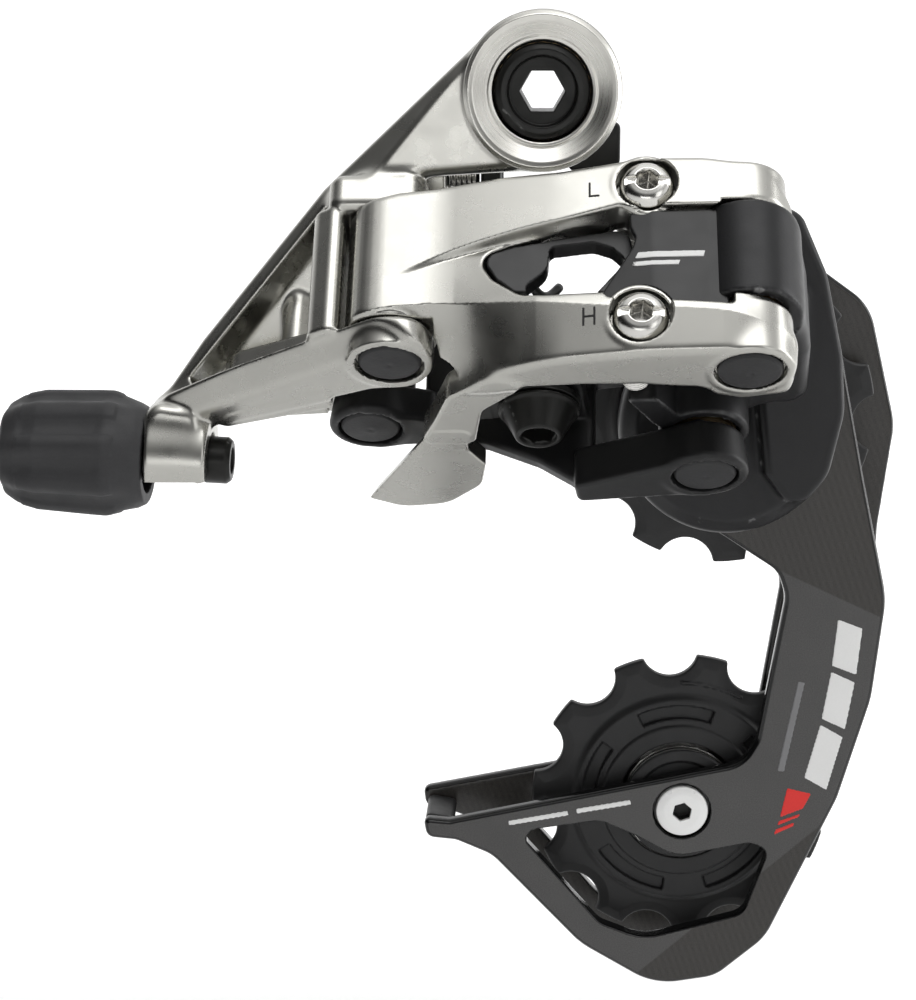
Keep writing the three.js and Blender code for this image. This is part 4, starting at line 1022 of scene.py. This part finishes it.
# ------------------------------------------------------------------ p knuckle
def build_p_knuckle():
    pivot = CAGE_AT
    housing = turned_y(pivot, [[-2, -5.2], [12.2, -5.2, 1.2], [14.7, -2.6, 2.4], [14.7, 1.5, 0.3],
                               [-2, 1.5]])
    shell = prism([[27.4, -16.2, 2], [33.0, -14.2, 3], [37.2, -23.4, 8], [39.6, -34.0, 10],
                   [40.2, -41.5, 10], [38.4, -50.0, 6], [34.2, -55.4, 6], [30, -50], [28, -34, 2]],
                  [-9.0, 1.5], WORLD, 1.2)
    side_wall = slab([[43.5, -11.5, 4], [49.6, -8.2, 6], [52.2, 3.0, 6], [53.2, 16.0, 3], [46.6, 16.0, 1],
                      [46.0, 4.0, 2], [43.5, 0, 1]], [3.3, 16.3], 1.4)
    cross_web = slab([[39.6, -4, 1], [48, -4, 2], [50, 14, 3], [44, 19, 3], [35.4, 14, 3]], [3.3, 8.1], 0.8)
    stop_post = slab([[29.2, 5.6, 0.5], [33.0, 5.6, 0.5], [37, 11, 1], [36, 15, 1], [33, 12, 1]],
                     [-1.9, 3.0], 0.3)
    stop_angle = math.radians(45)

    def round_pivot(angle, radius):
        return [pivot[0] + radius * math.cos(angle), pivot[2] + radius * math.sin(angle), 0.5]

    stop = prism([round_pivot(stop_angle - 0.12, 13.5), round_pivot(stop_angle + 0.1, 13.5),
                  round_pivot(stop_angle + 0.08, 18.4), round_pivot(stop_angle - 0.1, 18.4)], [0, 2.9])
    body = join(3.2, housing, shell, side_wall)
    body = join(4.0, body, pin_rod(PIN_C, [3.3, 16.3], BARREL_R, 0.5))
    body = join(0.9, body, cross_web, pin_rod(PIN_D, [-2, 8.1], BARREL_R, 0.6))
    body = join(0.8, body, stop_post, stop)
    ring_room = carve(0, y_rod(pivot, [-3.4, 8], 12.2, 0), y_rod(pivot, [-4, 9], 6.6, 0))
    fork_room = join(
        0, pin_rod(PIN_D, [8.1, 16], 5.0, 0),
        prism([[20, -4], [LINK_LENGTH, -4.9], [LINK_LENGTH, 4.9], [38, 6], [20, 6]], [8.1, 16], INNER, 0))
    body = carve(
        0.2, body, ring_room,
        y_rod(pivot, [-3.4, 8], 4.6, 0),
        pin_rod(PIN_C, [-4, 3.3], 7.0, 0), pin_rod(PIN_C, [16.3, 34], 7.0, 0),
        pin_rod(PIN_C, [2.3, 17.3], BUSH_BORE, 0), pin_rod(PIN_D, [-12, -2], BARREL_ROOM, 0), fork_room,
        pin_rod(PIN_D, [-3, 9.1], BUSH_BORE, 0),
    )
    rebuilt("p_knuckle", body, 0.4, GREY_ALLOY, "grey_alloy", "p_knuckle", 1.5)
    turns, per = 3.0, 30
    coil = []
    for i in range(int(turns * per) + 1):
        angle = i / per * 2 * math.pi
        coil.append([pivot[0] + 9.4 * math.cos(angle), -2.4 + 2.9 * i / (turns * per),
                     pivot[2] + 9.4 * math.sin(angle)])
    tube("cage_spring", coil, 0.55, 10, STEEL, "p_knuckle", ["cage_spring"])
    seal = turned_y(pivot, [[11.8, 1.8], [13.1, 1.8, 0.3], [13.0, 2.2], [13.1, 2.8, 0.3], [11.8, 2.8]])
    rebuilt("housing_seal", seal, 0.24, SEAL, "seal_rubber", "p_knuckle")


# ------------------------------------------------------------------ cage
OUTER_OUTLINE = [
    [14.6, -40.0, 6], [22.0, -30.0, 6], [37.0, -25.5, 4], [40.6, -32.1, 3], [45.0, -52.9, 8],
    [48.9, -70.0, 14], [47.4, -84.7, 16], [43.2, -99.7, 10], [33.6, -121.4, 9], [26.5, -127.6, 6],
    [17.6, -129.2, 10], [6.6, -122.8, 12], [-6.4, -109.2, 6], [-11.6, -107.0, 3], [-15.9, -106.6, 1.4],
    [-16.4, -103.6, 0.8], [-12.6, -103.9, 1], [29.4, -94.6, 5], [31.4, -91.0, 3], [34.8, -69.8, 5],
    [33.6, -66.2, 4], [20.0, -57.4, 5]]
WINDOW_OUTLINE = [
    [-1.7, -106.6, 1.4], [-0.6, -105.1, 1.2], [9.2, -103.5, 4], [14.5, -105.8, 4], [20.2, -108.9, 6],
    [30.8, -106.6, 2], [33.6, -107.6, 1.6], [30.2, -117.6, 3], [15.8, -121.8, 8], [9.4, -119.4, 4]]
INNER_OUTLINE = [
    [9.0, -36.0, 6], [18.0, -24.0, 8], [34.0, -21.0, 8], [46.6, -30.0, 8], [50.8, -47.0, 10],
    [49.0, -62.0, 6], [48.6, -78.0, 6], [46.0, -92.0, 6], [42.6, -102.0, 1], [42.8, -103.6, 0.5],
    [41.2, -107.6, 0.5], [39.8, -107.4, 0.5], [34.0, -121.0, 6], [26.5, -127.2, 4], [17.6, -128.4, 8],
    [6.6, -122.4, 8], [-6.4, -109.2, 4], [-12, -107, 2], [-16.6, -106, 1.6], [-17.0, -103.0, 1],
    [28.6, -93.4, 4], [32.6, -89.0, 3], [35.4, -70.0, 5], [31.0, -62.0, 5], [18.0, -56.0, 6]]


def woven_finish(name, zones):
    """Lacquered carbon: speckled graphite print between two slanted lines, ribbed weave outside."""
    n = Nodes(name)
    parts = n.add("ShaderNodeSeparateXYZ", {0: n.place})
    x, y, z = parts.outputs

    def beyond(point, way, soft=0.12):
        reach = n.math("ADD", n.math("MULTIPLY", n.math("SUBTRACT", x, point[0] * MM), way[0]),
                       n.math("MULTIPLY", n.math("SUBTRACT", z, point[1] * MM), way[1]))
        return n.ramp(reach, -soft * MM, soft * MM)

    facing = n.math("ABSOLUTE", n.add("ShaderNodeSeparateXYZ",
                                      {0: n.add("ShaderNodeNewGeometry").outputs["Normal"]}).outputs[1])
    flatness = n.ramp(facing, 0.9, 0.985)
    speckle = n.noise(0.16, 2, 0.7)
    cloud = n.noise(5.0, 3)
    slant = n.math("ADD", n.math("MULTIPLY", x, 0.94), n.math("MULTIPLY", z, 0.34))
    ribs = n.math("SINE", n.math("MULTIPLY", slant, 2 * math.pi / (0.95 * MM)))
    cross = n.math("SINE", n.math("MULTIPLY", z, 2 * math.pi / (1.9 * MM)))
    weave = n.math("MULTIPLY", ribs, n.math("ADD", 0.6, n.math("MULTIPLY", cross, 0.4)))
    graphite = n.mix(n.ramp(speckle, 0.35, 0.68), (0.043, 0.042, 0.0415, 1), (0.083, 0.081, 0.079, 1))
    graphite = n.mix(n.ramp(cloud, 0.3, 0.7, 0, 0.25), graphite, (0.04, 0.04, 0.04, 1))
    fibre = n.mix(n.ramp(weave, -1, 1), (0.019, 0.0172, 0.0155, 1), (0.031, 0.0285, 0.026, 1))
    fibre = n.mix(n.ramp(speckle, 0.45, 0.75), fibre, (0.047, 0.043, 0.037, 1))
    if zones:
        below = beyond((34.9, -66.5), (-0.42, -0.91))
        corner = beyond((38.3, -106.0), (0.672, -0.741))
        share = n.math("MULTIPLY", below, n.math("SUBTRACT", 1.0, corner))
        surface = n.mix(share, fibre, graphite)
    else:
        surface = fibre
    base = n.mix(flatness, (0.0035, 0.0035, 0.0036, 1), surface)
    n.put(n.shader.inputs["Base Color"], base)
    patches = n.ramp(n.noise(2.5, 4), 0.3, 0.7, 0.29, 0.38)
    n.put(n.shader.inputs["Roughness"], n.ramp(flatness, 0, 1, 0.2, patches))
    n.put(n.shader.inputs["Normal"], n.bump(n.math("ADD", n.math("MULTIPLY", weave, 0.12), speckle), 0.006))
    n.shader.inputs["Coat Weight"].default_value = 0.15
    n.shader.inputs["Coat Roughness"].default_value = 0.12
    n.shader.inputs["Specular IOR Level"].default_value = 0.4
    return n.material


OUTER_PLATE_Y = [3.2, 5.6]
INNER_PLATE_Y = [14.2, 16.2]


def build_cage():
    printed = woven_finish("lacquered_carbon_printed", True)
    plain = woven_finish("lacquered_carbon", False)
    outer = carve(0.5, prism(OUTER_OUTLINE, OUTER_PLATE_Y, WORLD, 0.85),
                  prism(WINDOW_OUTLINE, [0, 10], WORLD, 0))
    outer = carve(0.15, outer, y_rod(CAGE_AT, [0, 10], 4.5, 0), y_rod(TENSION_AT, [0, 10], 2.8, 0),
                  y_rod(TENSION_AT, [0, 4.7], 4.15, 0))
    rebuilt("cage_outer_plate", outer, 0.34, printed, "carbon", "cage", 1.0)
    inner = carve(0.4, prism(INNER_OUTLINE, INNER_PLATE_Y, WORLD, 0.7),
                  prism(WINDOW_OUTLINE, [10, 20], WORLD, 0))
    inner = carve(0.15, inner, y_rod(CAGE_AT, [10, 20], 2.8, 0), y_rod(TENSION_AT, [10, 20], 2.8, 0))
    rebuilt("cage_inner_plate", inner, 0.4, plain, "carbon", "cage", 1.0)
    bridge = prism([[-16.3, -106.3, 1.2], [-12.2, -106.7, 1], [-11.8, -104.4, 0.8], [-16.1, -103.7, 0.8]],
                   [5.7, 13.9], WORLD, 0.4)
    rebuilt("cage_bridge", bridge, 0.25, BLACK_PLASTIC, "black_plastic", "cage")
    low, high = node_box("cage_stop_pin")
    centre = (low + high) / 2
    peg = turned_y(centre, [[-2, low[1]], [1.6, low[1], 0.4], [1.6, high[1], 0.2], [-2, high[1]]])
    rebuilt("cage_stop_pin", peg, 0.15, STEEL, "steel", "cage")
    build_plate_marks()


def build_plate_marks():
    """Plain stripes and bars in place of the printed words."""
    top, depth = OUTER_PLATE_Y[0], 0.05

    def mark(name, pieces, ink, slot):
        shape = join(0, *[prism(p, [top - depth, top + 0.25], WORLD, 0.03) for p in pieces])
        low = np.array([min(c[0] for p in pieces for c in p), top - 0.2,
                        min(c[1] for p in pieces for c in p)]) - 0.2
        high = np.array([max(c[0] for p in pieces for c in p), top + 0.3,
                         max(c[1] for p in pieces for c in p)]) + 0.2
        made(name, shape, low, high, 0.16, ink, slot, "cage")

    def bar(start, end, width, lean=0.0):
        start, end = np.array(start), np.array(end)
        run = (end - start) / np.linalg.norm(end - start)
        side = np.array([-run[1], run[0]]) * width / 2
        skew = run * lean
        return [[*(start + side + skew), 0.15], [*(end + side + skew), 0.15],
                [*(end - side - skew), 0.15], [*(start - side - skew), 0.15]]

    mark("mark_bars_white", [
        bar((43.9, -73.6), (43.3, -80.4), 3.6, 0.5),
        bar((43.2, -81.4), (42.1, -88.4), 3.6, 0.5),
        bar((41.9, -89.4), (39.9, -97.4), 3.6, 0.5),
    ], INK_WHITE, "white_bolt")
    mark("mark_line_grey", [bar((37.4, -82.2), (34.9, -95.6), 1.0)], INK_GREY, "grey_alloy")
    mark("mark_line_white", [
        bar((-4.0, -104.1), (4.6, -102.4), 0.75),
        bar((5.8, -102.1), (13.6, -100.6), 0.75),
    ], INK_WHITE, "white_bolt")
    mark("mark_stripes_red", [
        [[35.9, -98.1, 0.1], [39.4, -98.9, 0.1], [38.3, -101.2, 0.1], [35.0, -102.6, 0.1]],
        [[34.9, -103.1, 0.1], [38.0, -101.9, 0.1], [37.7, -102.5, 0.1], [34.6, -103.9, 0.1]],
        [[34.5, -104.4, 0.1], [37.3, -103.2, 0.1], [37.0, -103.9, 0.1], [34.2, -105.3, 0.1]],
    ], INK_RED, "white_bolt")


# ------------------------------------------------------------------ pulleys
PULLEY_TEETH = 11
CHAIN_PITCH = 12.7
PITCH_R = CHAIN_PITCH / 2 / math.sin(math.pi / PULLEY_TEETH)
SEAT_R = 4.05
TIP_R = 21.6
BEARING_R = 8.8


def build_pulley(name, at, phase):
    step = 2 * math.pi / PULLEY_TEETH
    mid = at[1]
    start = math.radians(phase) + step / 2

    def polar(points):
        x, z = points[:, 0] - at[0], points[:, 2] - at[2]
        return np.hypot(x, z), np.arctan2(z, x)

    def teeth(points):
        radius, turn = polar(points)
        near = (turn - start + step / 2) % step - step / 2
        p, q = radius * np.cos(near), radius * np.sin(near)
        seat = SEAT_R - np.hypot(p - PITCH_R, q)
        side = -soft_min(-(radius - TIP_R), -seat, 0.35)
        away = abs(points[:, 1] - mid)
        bevel = (away - 1.15 + np.maximum(0, 1.6 + side) * 0.28) * 0.96
        return ease(side, bevel, 0.3)

    steps = turned_y(at, [[8.8, mid - 2.4, 0.15], [11.3, mid - 2.4, 0.4], [11.5, mid - 1.95, 0.2],
                          [15.2, mid - 1.95, 0.4], [15.9, mid - 1.1, 0.5], [15.9, mid + 1.1, 0.5],
                          [15.2, mid + 1.95, 0.4], [11.5, mid + 1.95, 0.2], [11.3, mid + 2.4, 0.4],
                          [8.8, mid + 2.4, 0.15]])

    def slots(points):
        radius, turn = polar(points)
        sector = (turn + 0.25) % (2 * math.pi / 5) - math.pi / 5
        band = abs(radius - 13.35) - 0.95
        reach = (abs(sector) - 0.4) * 13.35
        return ease(np.maximum(band, reach), 1.15 - abs(points[:, 1] - mid), 0.25)

    def arc_bar(points):
        radius, turn = polar(points)
        reach = (abs(turn - 1.32) - 0.26) * 17.6
        return ease(np.maximum(abs(radius - 17.6) - 0.22, reach), abs(points[:, 1] - mid) - 1.3, 0.1)

    body = carve(0.3, join(0.5, teeth, steps), slots, y_rod(at, [mid - 9, mid + 9], BEARING_R, 0))
    body = join(0.1, body, arc_bar)
    node = name + "_pulley"
    rebuilt(node, body, 0.3, BLACK_PLASTIC, "black_plastic", node)
    for side, sign in (("front", -1), ("back", 1)):
        cover = name + "_cover_" + side
        near, far = mid + sign * 2.8, mid + sign * 4.0
        profile = [[2.9, near], [8.2, near, 0.1], [8.2, far - sign * 0.3, 0.3], [6.7, far, 0.3],
                   [6.4, far - sign * 0.35, 0.2], [4.6, far - sign * 0.35, 0.2], [4.4, far, 0.2],
                   [2.9, far, 0.1]]
        rebuilt(cover, turned_y(at, profile), 0.18, BLACK_PLASTIC, "black_plastic", "cage")
    build_pulley_bolt(name + "_pulley_bolt", at)


def build_pulley_bolt(node, at):
    low, high = node_box(node)
    if node.startswith("tension"):
        face, inward, end = low[1], 1.0, high[1]
    else:
        face, inward, end = high[1], -1.0, low[1]
    span = sorted([face + inward * 1.4, end])
    head = turned_y(at, [[-2, face - inward * 0.15], [2.6, face - inward * 0.12, 1.5],
                         [3.72, face + inward * 0.25, 0.3], [3.72, face + inward * 1.4, 0.1],
                         [-2, face + inward * 1.4]])
    shank = y_rod(at, [span[0] - 0.3, span[1]] if inward > 0 else [span[0], span[1] + 0.3], 2.45, 0.2)
    place = along((at[0], 0, at[2]), EY)
    shank = threaded(shank, place, 2.47, 0.8, [span[0] + 8, span[1] - 0.2], 0.3)
    socket = hexagon((at[0], face - inward * 1.0, at[2]), (at[0], face + inward * 2.4, at[2]), 2.5, 0.2)
    rebuilt(node, carve(0.12, join(0.1, head, shank), socket), 0.14, WHITE, "white_bolt", "cage")
    # Painted shade: a thin black sleeve lines the white bolt's hex socket so the recess looks dark, standing
    # in for the shade inside it.
    first, last = face + inward * 0.35, face + inward * 2.2
    shade_lining = hexagon((at[0], first, at[2]), (at[0], last, at[2]), 2.62, 0.2)
    hollow = hexagon((at[0], face - inward, at[2]), (at[0], face + inward * 1.6, at[2]), 2.3, 0.2)
    low, high = np.array(at) - 2, np.array(at) + 2
    low[1], high[1] = min(first, last), max(first, last)
    made(node + "_socket_shade", carve(0.05, shade_lining, hollow), low, high, 0.1, BLACK_STEEL, "black_steel", "cage")


# ------------------------------------------------------------------ everything together
build_hanger()
build_b_knuckle()
build_b_screw()
build_pin_caps()
build_adjuster()
build_outer_link()
build_limit_screws()
build_insert()
build_inner_link()
build_p_knuckle()
build_cage()
build_pulley("guide", GUIDE_AT, 13.2)
build_pulley("tension", TENSION_AT, 13.0)

# CAD pieces that stay as they are, mostly hidden inside the others.
KEPT = {
    "pivot_bush": BRONZE, "bush_a": BRONZE, "bush_b": BRONZE, "bush_c": BRONZE, "bush_d": BRONZE,
    "pin_a": STEEL, "pin_b": STEEL, "pin_c": STEEL, "pin_d": STEEL, "housing_seat": STEEL,
    "adjuster_detent_spring": STEEL, "cage_axle": STEEL,
    "guide_bearing_outer": STEEL, "guide_bearing_inner": STEEL, "guide_ball_ring": CERAMIC,
    "tension_bearing_outer": STEEL, "tension_bearing_inner": STEEL, "tension_ball_ring": CERAMIC,
}
for node, material in KEPT.items():
    kept = frame["nodes"][node]
    kept.data.materials.clear()
    kept.data.materials.append(material)


# ------------------------------------------------------------------ floor, light and camera
FLOOR_DROP = 0.05                                # room below the cage for its swing
SWEEP_START = 1.6
SWEEP_RADIUS = 1.2
SWEEP_STEPS = 16
SWEEP_HALF_WIDTH = 3.2
LIT_MIDDLE = (0.01, 0.0, -0.05)
CAMERA_AT = (0.0003, -0.270, 0.0032)
CAMERA_WAY = (-0.0415, 0.9763, -0.2125)
LENS_MM = 72
SENSOR_MM = 36


def build_floor():
    """A pale sweep, clear of the hanging cage's swing, that curves up far behind the object."""
    z = CAD_BOX[0][2] - FLOOR_DROP
    profile = [(-3.0, z), (SWEEP_START, z)]
    for i in range(1, SWEEP_STEPS + 1):
        turn = i / SWEEP_STEPS * math.pi / 2
        profile.append((SWEEP_START + SWEEP_RADIUS * math.sin(turn),
                        z + SWEEP_RADIUS * (1 - math.cos(turn))))
    profile.append((SWEEP_START + SWEEP_RADIUS, 2.6))
    verts = [(x, y, h) for y, h in profile for x in (-SWEEP_HALF_WIDTH, SWEEP_HALF_WIDTH)]
    faces = [(2 * i, 2 * i + 1, 2 * i + 3, 2 * i + 2) for i in range(len(profile) - 1)]
    mesh = bpy.data.meshes.new("floor")
    mesh.from_pydata(verts, [], faces)
    for face in mesh.polygons:
        face.use_smooth = True
    floor = bpy.data.objects.new("floor", mesh)
    bpy.context.scene.collection.objects.link(floor)
    n = Nodes("pale_floor")
    grain = n.noise(2.0, 3)
    n.put(n.shader.inputs["Base Color"], n.mix(grain, (0.86, 0.86, 0.86, 1), (0.89, 0.89, 0.89, 1)))
    n.put(n.shader.inputs["Roughness"], n.ramp(grain, 0.3, 0.7, 0.78, 0.84))
    # Painted light: the floor glows, faintly near the object and more strongly further back, standing in for
    # light falling on it.
    away = n.add("ShaderNodeSeparateXYZ", {0: n.place}).outputs[1]
    n.shader.inputs["Emission Color"].default_value = (1, 1, 1, 1)
    n.put(n.shader.inputs["Emission Strength"], n.ramp(away, 0.04, 0.3, 0.03, 0.58))
    floor.data.materials.append(n.material)


def area_light(name, at, aim, size, power):
    data = bpy.data.lights.new(name, "AREA")
    data.shape = "RECTANGLE"
    data.size, data.size_y = size
    data.energy = power
    lamp = bpy.data.objects.new(name, data)
    lamp.location = at
    lamp.rotation_euler = (Vector(aim) - Vector(at)).to_track_quat("-Z", "Y").to_euler()
    bpy.context.scene.collection.objects.link(lamp)
    return lamp


def build_light():
    """A studio: white above and behind, dark behind the camera and to the left."""
    world = bpy.data.worlds.new("studio")
    bpy.context.scene.world = world
    world.use_nodes = True
    tree = world.node_tree
    coords = tree.nodes.new("ShaderNodeTexCoord")
    parts = tree.nodes.new("ShaderNodeSeparateXYZ")
    tree.links.new(coords.outputs["Generated"], parts.inputs[0])

    def ramp(value, low, high, to_low, to_high):
        node = tree.nodes.new("ShaderNodeMapRange")
        node.interpolation_type = "SMOOTHSTEP"
        tree.links.new(value, node.inputs["Value"])
        for key, number in zip(("From Min", "From Max", "To Min", "To Max"), (low, high, to_low, to_high)):
            node.inputs[key].default_value = number
        return node.outputs["Result"]

    def product(first, second):
        node = tree.nodes.new("ShaderNodeMath")
        node.operation = "MULTIPLY"
        tree.links.new(first, node.inputs[0])
        tree.links.new(second, node.inputs[1])
        return node.outputs[0]

    def largest(first, second):
        node = tree.nodes.new("ShaderNodeMath")
        node.operation = "MAXIMUM"
        tree.links.new(first, node.inputs[0])
        tree.links.new(second, node.inputs[1])
        return node.outputs[0]

    x, y, z = parts.outputs
    above = ramp(z, 0.35, 0.9, 0.08, 1.1)
    not_left = ramp(x, -0.75, -0.1, 0.2, 1.0)
    behind = ramp(y, 0.1, 0.6, 0.0, 0.75)
    right = product(ramp(x, 0.55, 0.9, 0.0, 0.9), ramp(z, -0.1, 0.15, 0.2, 1.0))
    total = largest(largest(product(above, not_left), behind), right)
    background = tree.nodes["Background"]
    tree.links.new(total, background.inputs["Strength"])
    background.inputs["Color"].default_value = (1, 1, 1, 1)
    area_light("key_above", (0.12, -0.25, 0.75), LIT_MIDDLE, (0.7, 0.5), 2.3)
    area_light("front_right", (0.55, -0.65, 0.2), LIT_MIDDLE, (0.3, 0.5), 0.7)
    area_light("front_low", (-0.03, -0.85, -0.02), LIT_MIDDLE, (0.5, 0.14), 0.55)
    area_light("rim_right", (0.7, 0.12, 0.05), LIT_MIDDLE, (0.25, 0.6), 1.6)


def build_camera():
    data = bpy.data.cameras.new("camera")
    data.lens = LENS_MM
    data.sensor_width = SENSOR_MM
    camera = bpy.data.objects.new("camera", data)
    camera.location = CAMERA_AT
    camera.rotation_euler = Vector(CAMERA_WAY).to_track_quat("-Z", "Y").to_euler()
    bpy.context.scene.collection.objects.link(camera)
    bpy.context.scene.camera = camera


build_floor()
build_light()
build_camera()
bpy.context.scene.view_settings.view_transform = "Standard"
